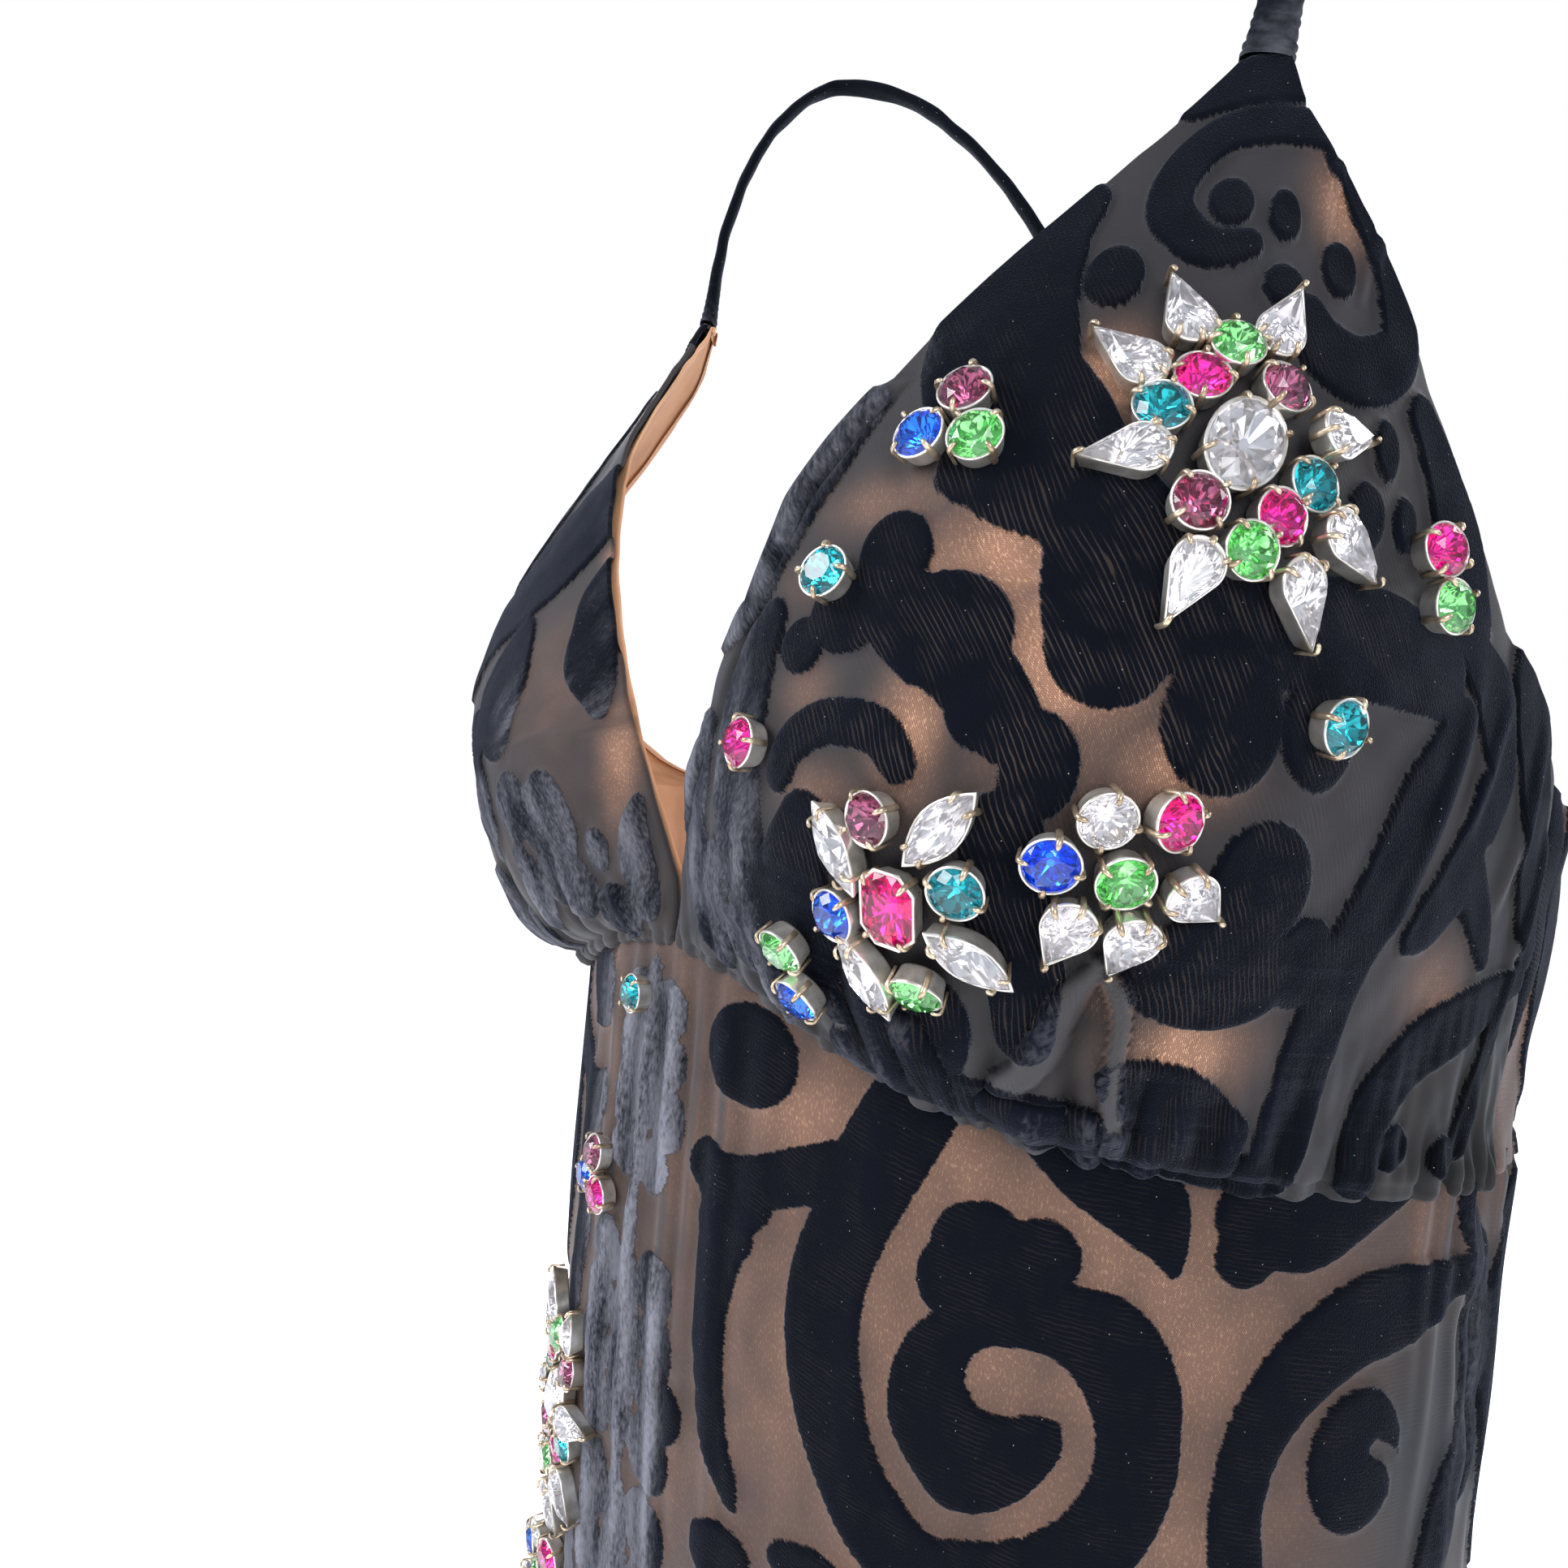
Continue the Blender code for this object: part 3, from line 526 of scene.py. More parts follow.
cupPattern = [
    ("tip", "stroke", [(46, 193, 3), (51, 198, 5), (57, 200, 6)]),
    ("hook", "stroke", [(60.5, 185, 2.4), (54.8, 187.5, 3.8), (49.5, 185.5, 3.6), (46.3, 178, 3.8),
                        (45.2, 169, 4.0), (46.5, 162, 4.0), (48.8, 158.6, 3.4), (51.4, 160, 2.2)]),
    ("edge", "stroke", [(59.8, 181, 2.6), (62, 170, 2.4), (63.8, 160, 3.2), (64.8, 150, 4.0),
                        (64.4, 142, 5.0), (60.8, 138, 5.6), (57.4, 141, 5.2), (56.2, 147, 3.2)]),
    ("dots", "dots", [(50, 169, 4.2, 4.4), (54.5, 167, 2.9, 4.1), (42, 152.5, 4.7, 5.4),
                      (59.2, 157, 3.6, 4.4), (54.2, 152, 3.6, 3.4), (62.8, 124.5, 2.4, 3.8),
                      (60.7, 112.5, 3.7, 4.5), (64.6, 112, 2.4, 3.4)]),
    ("patch", "stroke", [(39, 170, 3.6), (37, 162, 7.2), (35.4, 151, 11.2), (35, 140, 13.8),
                         (36.3, 130, 12.8), (38.4, 121, 13.4), (40.6, 115, 10.4)]),
    ("patchFoot", "dots", [(35.6, 116, 6.5, 5.0)]),
    ("middle", "stroke", [(41, 113, 8), (43.6, 106, 10), (44.3, 96, 11), (44, 87.5, 8.6)]),
    ("lowerMiddle", "dots", [(50.8, 77, 9.5, 10.5), (57.4, 77, 7.2, 9.2)]),
    ("right", "stroke", [(49, 92, 8.5), (56, 92, 8.6), (62.5, 91, 8.5), (69.5, 87.5, 7)]),
    ("rightEdge", "stroke", [(67, 132, 3.2), (69.5, 120, 5.2), (72, 108, 7), (73, 98, 7.4)]),
    ("leftEdge", "stroke", [(26.2, 131, 3.2), (22.5, 117, 5.2), (20.1, 108, 6.0), (17.7, 98, 5.8),
                            (15.9, 91, 3.6)]),
    ("lobes", "dots", [(31, 102, 6.0, 6.6), (28.2, 92.5, 7.0, 6.2), (24.8, 87, 4.2, 4.0),
                       (35.0, 89.2, 9.6, 8.8), (37.6, 78, 5.0, 6.5), (40.8, 68.5, 5.0, 7.0)]),
    ("lobeStroke", "stroke", [(31, 95, 6), (33.2, 90, 6.6), (36.9, 82, 5.6), (39.0, 74, 4.6)]),
    ("crescent", "stroke", [(24.0, 64.6, 2.6), (25.2, 70.4, 2.9), (28.1, 73.8, 3.0), (31.4, 72.8, 2.9),
                            (33.0, 67.6, 2.2)]),
    ("frontLobe", "stroke", [(26.2, 56, 5.0), (25.2, 47, 7.5), (26, 37, 7.2), (28.6, 27, 6.6)]),
    ("frontStrip", "stroke", [(21.4, 92, 3.2), (19.8, 81, 6.0), (18.9, 67, 7.4), (18.9, 53, 8.2),
                              (19.8, 41, 8.2), (21.4, 29, 6.2)]),
    ("neckBand", "stroke", [(13.6, 73, 1.6), (12.2, 64, 4.8), (10.4, 54, 7.4), (9.5, 43, 9.4),
                            (10.2, 33, 8.4), (12.4, 26.5, 4.4)]),
    ("bigLeaf", "dots", [(54.4, 51.5, 8.8, 9.2), (52.2, 36.5, 15, 9.0), (58.5, 38, 6.4, 7)]),
    ("drop", "stroke", [(39.0, 58, 5.4), (39.8, 46, 6.6), (40.8, 34, 5.6), (41.0, 24, 4.2)]),
    ("seamLeaf", "stroke", [(47.2, 17.0, 3.0), (51.0, 11.5, 7.0), (55.6, 5.6, 4.4)]),
    ("seamLobes", "dots", [(35.0, 22, 6.5, 9), (30.6, 18, 5.5, 9), (27.4, 12, 4, 5), (21.5, 22, 5, 6),
                           (17.0, 30, 4, 6), (14.5, 40, 3.5, 8), (73, 1.5, 4.5, 3.5), (80, -1.5, 4, 3)]),
    ("roll", "stroke", [(31, 11, 3.5), (37, 8, 5.0), (42, 5, 6.0), (45.5, 2, 5.5), (49.5, 0, 4.5),
                        (55, -2, 3.5), (61, -4, 4.5)]),
    ("pleatSheer", "cut", [(45.6, 37, 0.4), (44.6, 31, 3.4), (44.6, 24, 4.6), (44.2, 19, 4.4),
                           (41.2, 16.5, 3.0), (39.6, 15, 1.4)]),
    ("pleatLeg", "cut", [(46.8, 22, 1.6), (46.8, 14, 1.8), (47.1, 8, 1.6)]),
    ("rollLump", "stroke", [(38.8, 8.5, 3.6), (41.4, 5.5, 5.0), (44.0, 5.0, 5.2), (45.4, 6.0, 3.6)]),
    ("slant", "stroke", [(72.3, 80, 3.5), (68.6, 67, 6.6), (65.8, 53, 7.2), (62.8, 40, 6.0),
                         (61.2, 24, 6.2), (60.6, 7, 6.2), (60.6, -3, 5)]),
    ("fork", "stroke", [(76.5, 68, 2.0), (75.3, 55, 6.0), (71.8, 45.5, 4.8), (68.9, 41, 1.4)]),
    ("forkRight", "stroke", [(75.5, 55, 5), (79, 45, 4.2), (81.3, 36.5, 1.4)]),
    ("arc", "stroke", [(90.5, 31, 2.4), (80.6, 25.5, 5.0), (72.8, 18.5, 6.2), (69.4, 8, 5.6),
                       (69.5, -2, 5.2)]),
    ("sideTop", "stroke", [(74.0, 91, 4.0), (77.6, 83, 7.0), (79.2, 73, 6.4), (78.0, 62, 3.6)]),
    ("side", "stroke", [(84, 90, 8), (86.5, 72, 9), (88.5, 52, 8), (91, 38, 5)]),
    ("sideFoot", "stroke", [(86.5, 23, 3.2), (84.5, 10, 3.6), (82.5, 0, 3)]),
]

# The right cup's own figures beside its neckline, and those of the left cup that they replace
farCupPattern = [
    ("topMass", "stroke", [(17, 143, 7), (18, 131, 13), (20.6, 122, 16), (24, 112.6, 14.6), (27, 104, 11),
                           (31, 93, 7.4), (33, 80, 4)]),
    ("neckColumn", "stroke", [(11.8, 113, 1.6), (12.4, 104, 4.6), (11.4, 96, 6.8), (11.2, 87, 7.0),
                              (9.8, 80, 4.4), (9.2, 75.5, 2.2)]),
    ("leaf", "stroke", [(21.4, 94, 3.4), (22, 85, 8.6), (23.3, 75, 10), (23.6, 69, 8.4)]),
    ("crushedLobes", "dots", [(20.5, 48, 7, 8), (15.4, 44, 9, 13), (27.5, 45, 6, 12), (14.5, 30, 9, 8),
                              (21, 28, 6, 9), (8.0, 25, 8, 6), (28, 62, 4, 9), (9.6, 40, 3, 4)]),
    ("neckFoot", "stroke", [(4.6, 53, 1.0), (5.0, 45, 3.8), (4.8, 37, 5.0), (3.6, 29, 4)]),
]
farCupLeavesOut = ("leftEdge", "neckBand", "lobes", "lobeStroke", "crescent", "frontLobe", "frontStrip")

skirtPattern = [
    ("spiralDisc", "dots", [(39.2, -56.5, 17.2, 20)]),
    ("spiralHead", "dots", [(38.0, -25.5, 9.2, 8.8), (43.2, -24.4, 7.0, 6.4), (35.4, -32, 5.5, 7),
                            (42, -37, 14, 6)]),
    ("spiralArm", "stroke", [(40, -38, 5), (45.5, -37.6, 8.0), (49.6, -39.6, 8.8), (52, -47.5, 8.8),
                             (52.5, -55, 8.5), (52.6, -62, 8.2), (51.2, -72, 8.4), (48.6, -80, 8.4),
                             (44.6, -86, 8.0), (40, -89, 7.8)]),
    ("bigStroke", "stroke", [(32, 6, 7.8), (30, -3.5, 8.6), (27.4, -16, 8.6), (25.8, -26.5, 7.8),
                             (24.3, -38, 7.9), (24.2, -52, 7.9), (25.6, -65, 7.8), (28.1, -76, 7.6),
                             (31.6, -86.5, 7.6), (36.5, -93, 8)]),
    ("spiralEye", "cut", [(40.9, -49.6, 7.4), (44.3, -48.8, 6.4), (47.4, -53.4, 4.0), (48, -61.3, 3.8),
                          (46.5, -68.6, 4.1), (43.8, -74.6, 3.8), (40.1, -78.6, 3.3), (36.2, -79, 3.6),
                          (33, -73.3, 3.7), (30.5, -64, 3.1), (29.5, -51.5, 3.2)]),
    ("branch", "stroke", [(24, -17, 5.2), (18.5, -22.5, 5.2), (14, -26.5, 5), (10, -27.5, 5)]),
    ("branchFoot", "dots", [(12.5, -29.5, 10.0, 7.5), (11.9, -37.6, 7.8, 7.5), (9.0, -26, 5.4, 5.6)]),
    ("upright", "stroke", [(11.6, -43, 6.2), (11.1, -55, 4.6), (11.2, -63, 4.2), (11.8, -72, 3.8),
                           (12.8, -83, 3.6), (14.7, -91.5, 2.6), (15.6, -95.6, 1.0)]),
    ("topBlob", "dots", [(12.8, 1, 12.2, 10.6)]),
    ("seamLeaf", "stroke", [(41, 1, 3.4), (46.5, -4.5, 8), (51.4, -11.5, 7.4), (53.7, -18.5, 3.6),
                            (54.6, -24, 0.8)]),
    ("seamLeafTop", "dots", [(51, -1.5, 11, 6)]),
    ("patch", "stroke", [(61.8, -12.5, 8.2), (66.5, -13.5, 9.0), (71.5, -9.5, 7.4), (78.6, -4.5, 3.8)]),
    ("patchFoot", "dots", [(60.9, -20.4, 5.6, 5.2)]),
    ("rightArm", "stroke", [(87, -28, 3.6), (79, -31.5, 7.6), (73, -33.8, 8.2), (67.8, -41, 7.6),
                            (64.6, -50.5, 6.4), (62.8, -61, 5.4), (62.4, -73, 5.0), (63.8, -86, 5.0),
                            (67.4, -97, 5)]),
    ("rightEdge", "stroke", [(87.5, -13, 3), (91.5, -25, 6), (93.5, -38, 7), (93.5, -52, 7), (92, -66, 8),
                             (89.5, -80, 8), (86, -94, 6)]),
    ("curl", "dots", [(74.5, -60.5, 11.2, 13.7)]),
    ("curlEye", "cut", [(76.8, -58.5, 2.4), (79.2, -62, 2.6), (80.4, -69, 3.2)]),
    ("frontScallops", "dots", [(0, 4, 6.5, 7), (0.5, -8, 6.5, 7), (1.5, -21, 6.5, 7), (0, -33, 6, 6),
                               (2.2, -60, 6.6, 7.5), (3.2, -73, 6.6, 7.5), (4.2, -86, 8, 8),
                               (3.0, -99, 8, 8)]),
    ("frontBand", "stroke", [(-4.5, 12, 5), (-4.5, -10, 8), (-5, -32, 5.5), (-5.5, -55, 8), (-5, -80, 11),
                             (-6, -104, 9)]),
    ("lowBlobs", "dots", [(14.5, -107, 7.5, 5.5), (25, -101, 9.5, 5), (31, -106, 7, 6), (70, -106, 7, 6),
                          (82, -108, 9, 4)]),
]
patternScale = {"cup": 2.8, "skirt": 2.2}  # mm of cloth to a degree
patternGrow = {"cup": 1.2, "skirt": 0.8}   # mm that the pile of each figure spreads past its drawing


def smoothPath(places, parts=6):
    # Catmull-Rom through the places, the half width with them.
    points = np.array([places[0]] + list(places) + [places[-1]], float)
    made = []
    for k in range(1, len(points) - 2):
        a, b, c, d = points[k - 1:k + 3]
        for s in np.arange(parts) / parts:
            made.append(0.5 * (2 * b + (c - a) * s + (2 * a - 5 * b + 4 * c - d) * s * s
                               + (3 * b - a - 3 * c + d) * s**3))
    return np.array(made + [points[-2]])


def strokeInside(x, y, places, best):
    # Signed distance into a stroke, largest where strokes overlap.
    path = smoothPath(places)
    for (ax, ay, ar), (bx, by, br) in zip(path[:-1], path[1:]):
        reach = max(ar, br) + 8.0
        near = ((x > min(ax, bx) - reach) & (x < max(ax, bx) + reach)
                & (y > min(ay, by) - reach) & (y < max(ay, by) + reach))
        px, py = x[near], y[near]
        dx, dy = bx - ax, by - ay
        s = np.clip(((px - ax) * dx + (py - ay) * dy) / max(dx * dx + dy * dy, 1e-9), 0.0, 1.0)
        inside = ar + (br - ar) * s - np.hypot(px - ax - dx * s, py - ay - dy * s)
        best[near] = np.maximum(best[near], inside)


def patternDepth(pattern, angle, height, word):
    # How far inside the pile figures each point lies, in mm, negative outside.
    scale = patternScale[word]
    x, y = (angle * scale).ravel(), (height * 1000.0).ravel()
    depth = np.full(x.shape, -8.0)
    for _, kind, places in pattern:
        places = [(p[0] * scale, *p[1:]) for p in places]
        if kind == "dots":
            for cx, cy, rx, ry in places:
                inside = (1.0 - np.hypot((x - cx) / rx, (y - cy) / ry)) * min(rx, ry)
                depth = np.maximum(depth, inside)
        else:
            best = np.full(x.shape, -8.0)
            strokeInside(x, y, places, best)
            depth = np.minimum(depth, -best) if kind == "cut" else np.maximum(depth, best)
    return depth.reshape(angle.shape) + patternGrow[word]


def foldBack(place, start, length):
    # Mirror repeat of a stretch: runs on from start for length, then back again.
    beyond = (place - start) % (2.0 * length)
    return start + length - np.abs(beyond - length)


skirtRepeat = {
    "start": -3.0,          # angle where the drawn stretch begins
    "length": 100.0,        # degrees that it runs
    "foot": -108.0,         # mm, its lowest level
    "height": 118.0,        # mm
    "calm": 115.0,          # mm below the seam where it starts to wander
    "wanderAcross": 7.0,    # degrees
    "wanderDown": 15.0,     # mm
}


def skirtDepth(angle, height):
    # The drawn stretch is repeated in mirror image round the skirt and down it. The
    # repeat keeps its size as the skirt widens, and wanders a little away from the drawing.
    run = halfTurns(angle)
    wider = smoothLine(figure, "halfWidth", np.minimum(height, -0.12)) / figure["halfWidth"][5]
    down = height * 1000.0
    below = unit((-down - skirtRepeat["calm"]) / 50.0)
    beyond = np.maximum(below, unit((np.abs(run - skirtRepeat["start"]) - 99.0) / 20.0))
    drift = angle * patternScale["skirt"]
    across = run * wider + beyond * skirtRepeat["wanderAcross"] * softNoise(drift, down, 150.0, 11)
    down = down + beyond * skirtRepeat["wanderDown"] * softNoise(drift, down, 170.0, 12)
    across = foldBack(across, skirtRepeat["start"], skirtRepeat["length"])
    foot = skirtRepeat["foot"]
    down = np.where(down < foot, foldBack(down, foot, skirtRepeat["height"]), down)
    return patternDepth(skirtPattern, across, down / 1000.0, "skirt")


cupPatterns = {1: cupPattern,
               -1: farCupPattern + [item for item in cupPattern if item[0] not in farCupLeavesOut]}
print("pattern ready:", len(cupPattern), "cup figures,", len(skirtPattern), "skirt figures")


# Cloth panels

showSpots = {  # where the lining shows through best: angle, height in mm, their spreads, amount
    "cup": [(41.5, 84, 4.5, 16, 0.95), (37.5, 101, 4.5, 8, 0.95), (50.8, 21, 3.9, 8, 0.88),
            (42.5, 133, 2.4, 8, 0.9), (33.4, 73, 2.0, 10, 0.85), (27.5, 61, 3.0, 5, 0.35),
            (30, 112, 4.5, 5, 0.38), (75, 31, 4, 8, 0.35), (59.8, 171, 2.4, 9, 0.90),
            (48, 70, 3.5, 6, 0.85), (45.2, 31, 0.6, 3, 0.30), (25.5, 79, 2.5, 5, 0.22),
            (46.4, 32, 1.2, 5, 0.5), (24, 98, 2.5, 5, 0.12)],
    "farCup": [(7.0, 61, 1.8, 14, 0.75), (12.8, 114, 1.2, 3, 0.5), (14, 78, 8, 20, 0.12),
               (24, 106, 3, 4, 0.1)],
    "skirt": [(47, -30, 18, 30, 0.30), (35, -12, 10, 12, 0.25), (56, -60, 8, 40, 0.25),
              (20, -4, 10, 14, 0.35), (81, -12, 4, 14, 0.20), (18, -60, 8, 40, 0.12)],
}


def showThrough(spots, angle, height, least):
    show = np.full(angle.shape, least, float)
    for a, h, da, dh, amount in spots:
        near = np.exp(-(((angle - a) / da) ** 2) - (((height * 1000.0 - h) / dh) ** 2))
        show = np.maximum(show, least + amount * near)
    return unit(show)


def gridNormals(points):
    normals = np.cross(np.gradient(points, axis=1), np.gradient(points, axis=0))
    return normals / np.maximum(np.linalg.norm(normals, axis=2, keepdims=True), 1e-12)


def clothPlaces(points):
    # Place on the flat cloth in metres: along each row from its first column, up from the hem.
    along = np.linalg.norm(np.diff(points, axis=1), axis=2)
    along = np.concatenate([np.zeros((len(points), 1)), np.cumsum(along, axis=1)], axis=1)
    up = np.linalg.norm(np.diff(points, axis=0), axis=2)
    up = np.concatenate([np.zeros((1, points.shape[1])), np.cumsum(up, axis=0)], axis=0)
    return along - along.mean(axis=1, keepdims=True), np.broadcast_to(up.mean(axis=1)[:, None], up.shape)


def marksOn(points, **values):
    # The cloth's own places and each mark, over the whole grid.
    along, up = clothPlaces(points)
    marks = {"along": along.copy(), "up": up.copy()}
    for word, value in values.items():
        marks[word] = np.array(np.broadcast_to(value, points.shape[:2]), float)
    return marks


def turnEdges(points, normals, marks, edges, thick, turn):
    # Round the cloth over its free edges and turn a narrow hem inside.
    path = [(0.00035, -0.35 * thick), (0.0003, -0.8 * thick), (-0.0008, -1.1 * thick),
            (-turn, -1.15 * thick)]
    for edge in edges:
        axis = 1 if edge in ("first", "last") else 0
        first = edge in ("first", "bottom")
        end, inner = (0, 1) if first else (-1, -2)
        rim, flat = np.take(points, end, axis=axis), np.take(normals, end, axis=axis)
        away = rim - np.take(points, inner, axis=axis)
        away = away - flat * np.sum(away * flat, axis=1, keepdims=True)  # not the pile's own step
        away = away / np.maximum(np.linalg.norm(away, axis=1, keepdims=True), 1e-12)
        extra = [rim + away * a + flat * b for a, b in path]
        extra = np.stack(extra[::-1] if first else extra, axis=axis)

        def grow(grid, more):
            return np.concatenate([more, grid] if first else [grid, more], axis=axis)

        points = grow(points, extra)
        normals = grow(normals, np.stack([flat] * len(path), axis=axis))
        for word, grid in marks.items():
            marks[word] = grow(grid, np.stack([np.take(grid, end, axis=axis)] * len(path), axis=axis))
    return points, marks


def meshFromGrid(name, points, marks, finish, side=1.0):
    # One mesh from a grid of points, with the cloth's own coordinates and marks.
    rows, columns = points.shape[:2]
    i, j = np.meshgrid(np.arange(rows - 1), np.arange(columns - 1), indexing="ij")
    low = i * columns + j
    faces = np.stack([low, low + 1, low + columns + 1, low + columns], -1).reshape(-1, 4)
    if side < 0:
        faces = faces[:, ::-1]
    mesh = bpy.data.meshes.new(name)
    mesh.from_pydata(points.reshape(-1, 3).tolist(), [], faces.tolist())
    for word in ("pile", "show", "stretch", "crush", "row", "fold"):
        if word in marks:
            layer = mesh.attributes.new(word, "FLOAT", "POINT")
            layer.data.foreach_set("value", marks[word].astype(np.float32).ravel())
    flat = np.stack([marks["along"].ravel() * 100.0, marks["up"].ravel() * 100.0], axis=1)
    corner = np.empty(len(mesh.loops), np.int32)
    mesh.loops.foreach_get("vertex_index", corner)
    layer = mesh.uv_layers.new(name="cloth")
    layer.data.foreach_set("uv", flat[corner].astype(np.float32).ravel())
    mesh.materials.append(finish)
    mesh.shade_smooth()
    made = bpy.data.objects.new(name, mesh)
    bpy.context.scene.collection.objects.link(made)
    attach(made, "root")
    return made


def standFor(node):
    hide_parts(node)


def foldMark(rise, rounds=14, full=0.0010):
    # Where the cloth stands out from its surroundings (up to 1) or is sunk (down to -1), for painted light
    # on raised folds and painted shade in sunk ones.
    flat = rise
    for _ in range(rounds):
        wide = np.pad(flat, 1, mode="edge")
        flat = 0.25 * (wide[:-2, 1:-1] + wide[2:, 1:-1] + wide[1:-1, :-2] + wide[1:-1, 2:])
    return np.clip((rise - flat) / full, -1.0, 1.0)


pileSet = {"high": 0.0011, "foot": -0.45, "slope": 1.3}  # m, then mm from a figure's edge


def raisePile(points, normals, depth):
    s = unit((depth - pileSet["foot"]) / pileSet["slope"])
    return points + normals * (pileSet["high"] * s * s * (3.0 - 2.0 * s))[:, :, None]


def levelsBetween(*stretches):
    # Row levels from stretches of (start, end, number of rows).
    made = [np.linspace(a, b, n, endpoint=False) for a, b, n in stretches]
    return np.concatenate(made + [[stretches[-1][1]]])


# Cups

necklines = {  # height and angle along the edge, on the wearer's left (1) and right (-1)
    1: [(0.022, 0.0), (0.036, 0.5), (0.050, 5.0), (0.065, 10.5), (0.090, 16.5), (0.115, 21.0),
        (0.133, 26.0), (0.155, 33.0), (0.182, 42.0), (0.204, 50.5)],
    -1: [(0.022, 0.0), (0.036, 0.5), (0.050, 2.5), (0.065, 4.7), (0.090, 8.4), (0.115, 13.0),
         (0.133, 17.7), (0.155, 26.0), (0.182, 37.5), (0.204, 50.5)],
}
armholes = {
    1: [(0.0, 93.0), (0.070, 93.0), (0.080, 90.3), (0.0885, 85.8), (0.097, 79.5), (0.116, 74.0),
        (0.138, 68.5), (0.167, 62.9), (0.190, 57.2), (0.204, 55.3)],
    -1: [(0.0, 93.0), (0.048, 93.0), (0.052, 82.0), (0.058, 74.0), (0.068, 67.0), (0.080, 61.5),
         (0.092, 57.5), (0.120, 51.0), (0.138, 49.5), (0.167, 53.5), (0.190, 58.0), (0.204, 55.3)],
}
cupSet = {
    "columns": 280,
    # angle, half width, rise in mm, reach in mm of each gather above the under bust seam
    "gathers": [(15.0, 2.6, 2.2, 30), (20.5, 2.8, 3.4, 42), (26.0, 2.8, 4.0, 34), (31.5, 2.8, 5.2, 46),
                (36.5, 2.6, 3.0, 30), (41.5, 2.6, 3.4, 40), (46.5, 2.4, 4.2, 50), (51.5, 2.6, 4.8, 26),
                (57.5, 3.0, 4.0, 34), (64.0, 3.2, 3.4, 28), (71.0, 3.4, 2.6, 36), (79.0, 3.6, 2.2, 30)],
    # angle at the seam, lean in degrees a metre, half width, rise, reach of each sharp pleat
    "pleats": [(37.0, 20, 0.9, 2.4, 30), (31.2, -40, 0.8, 2.6, 26), (27.4, 30, 0.7, 2.0, 20),
               (22.4, -30, 0.7, 2.2, 24), (18.0, 20, 0.6, 1.6, 18), (54.5, 25, 0.9, 2.0, 16),
               (61.8, -30, 0.9, 1.7, 14), (68.0, 20, 1.0, 1.6, 16), (75.5, -20, 1.0, 1.5, 18),
               (84.0, 10, 1.1, 1.6, 22), (88.6, -10, 0.8, 1.8, 30), (12.4, 30, 0.7, 1.4, 16),
               (8.0, 10, 0.7, 1.2, 14)],
    # where the rolled seam edge is pinched, and how full it is between the pinches in mm
    "pinches": [0.5, 5, 9, 13.5, 17.2, 21.5, 25, 29.6, 34.2, 37.6, 43.6, 47.2, 52, 57.5, 62, 66.5, 72, 77.5,
                83, 88, 93],
    "fullness": [1.6, 2.0, 1.8, 2.4, 2.0, 2.6, 2.4, 3.2, 2.8, 4.4, 3.2, 2.6, 2.4, 2.0, 2.2, 1.8, 2.0, 1.6,
                 1.8, 1.6],
    # ridges of the left cup above the seam: rise in mm, then angle, height, half width in mm on their way
    "ridges": [(3.2, [(45.7, 39, 1.0), (44.3, 34, 2.4), (43.2, 28, 3.0), (42.3, 21.5, 3.2), (41.0, 16, 3.2),
                      (39.4, 13.5, 2.4)]),
               (3.8, [(44.9, 38, 1.2), (46.3, 32.5, 1.8), (46.8, 26, 1.8), (46.6, 17, 1.7), (47.1, 9, 2.0),
                      (47.4, 2, 2.2)]),
               (3.0, [(38.9, 8.5, 3.4), (41.4, 5.5, 4.4), (44.0, 5.0, 4.6), (45.6, 6.5, 3.4)]),
               (2.8, [(33.2, 22, 2.6), (34.2, 14, 4.0), (34.8, 6, 4.4)]),
               (2.0, [(27.4, 24, 2.2), (28.1, 18, 3.2), (28.8, 10, 3.0)]),
               (1.8, [(23.6, 28, 1.6), (22.8, 20, 2.2), (22.0, 12, 2.4)])],
    # folded lobes of velvet along the left neckline: lowest and highest level
    "neckLobes": [(0.030, 0.057), (0.055, 0.088), (0.086, 0.134)],
    # creases that run from the left armhole: angle and height in mm of both ends, half width, rise in mm
    "creases": [(75, 90, 66, 42, 2.6, 1.1), (80, 86, 74, 60, 2.2, 1.0), (88, 84, 82, 44, 3.0, 1.3),
                (64, 168, 61, 150, 1.4, 0.7), (60, 182, 58, 160, 1.2, 0.6), (91, 60, 86, 20, 2.4, 1.2)],
}


def edgeAngle(edge, level):
    # Where an edge crosses a cup's rows, whose levels run from 0 at the seam to the tip's height.
    heights, angles = np.array(edge).T
    feet = seamHeight(angles)
    return np.interp(level, (heights - feet) / (1.0 - feet / gown["cupTip"]), angles)


def gatherRise(angle, height):
    above = np.maximum(height - seamHeight(angle), 0.0)
    swell = 0.4 + 0.6 * np.minimum(above / 0.008, 1.0)
    total = np.zeros_like(above)
    for a, half, rise, reach in cupSet["gathers"]:
        across = unit(1.0 - ((angle - a) / half) ** 2)
        fade = unit(1.0 - above / (reach * 0.001))
        total += rise * 0.001 * across**1.3 * fade**1.2 * swell
    for a, lean, half, rise, reach in cupSet["pleats"]:
        fade = unit(1.0 - above / (reach * 0.001))
        start = 0.35 + 0.65 * np.minimum(above / 0.006, 1.0)
        total += rise * 0.001 * bell((angle - a - lean * above) / half) * fade**0.8 * start
    return total


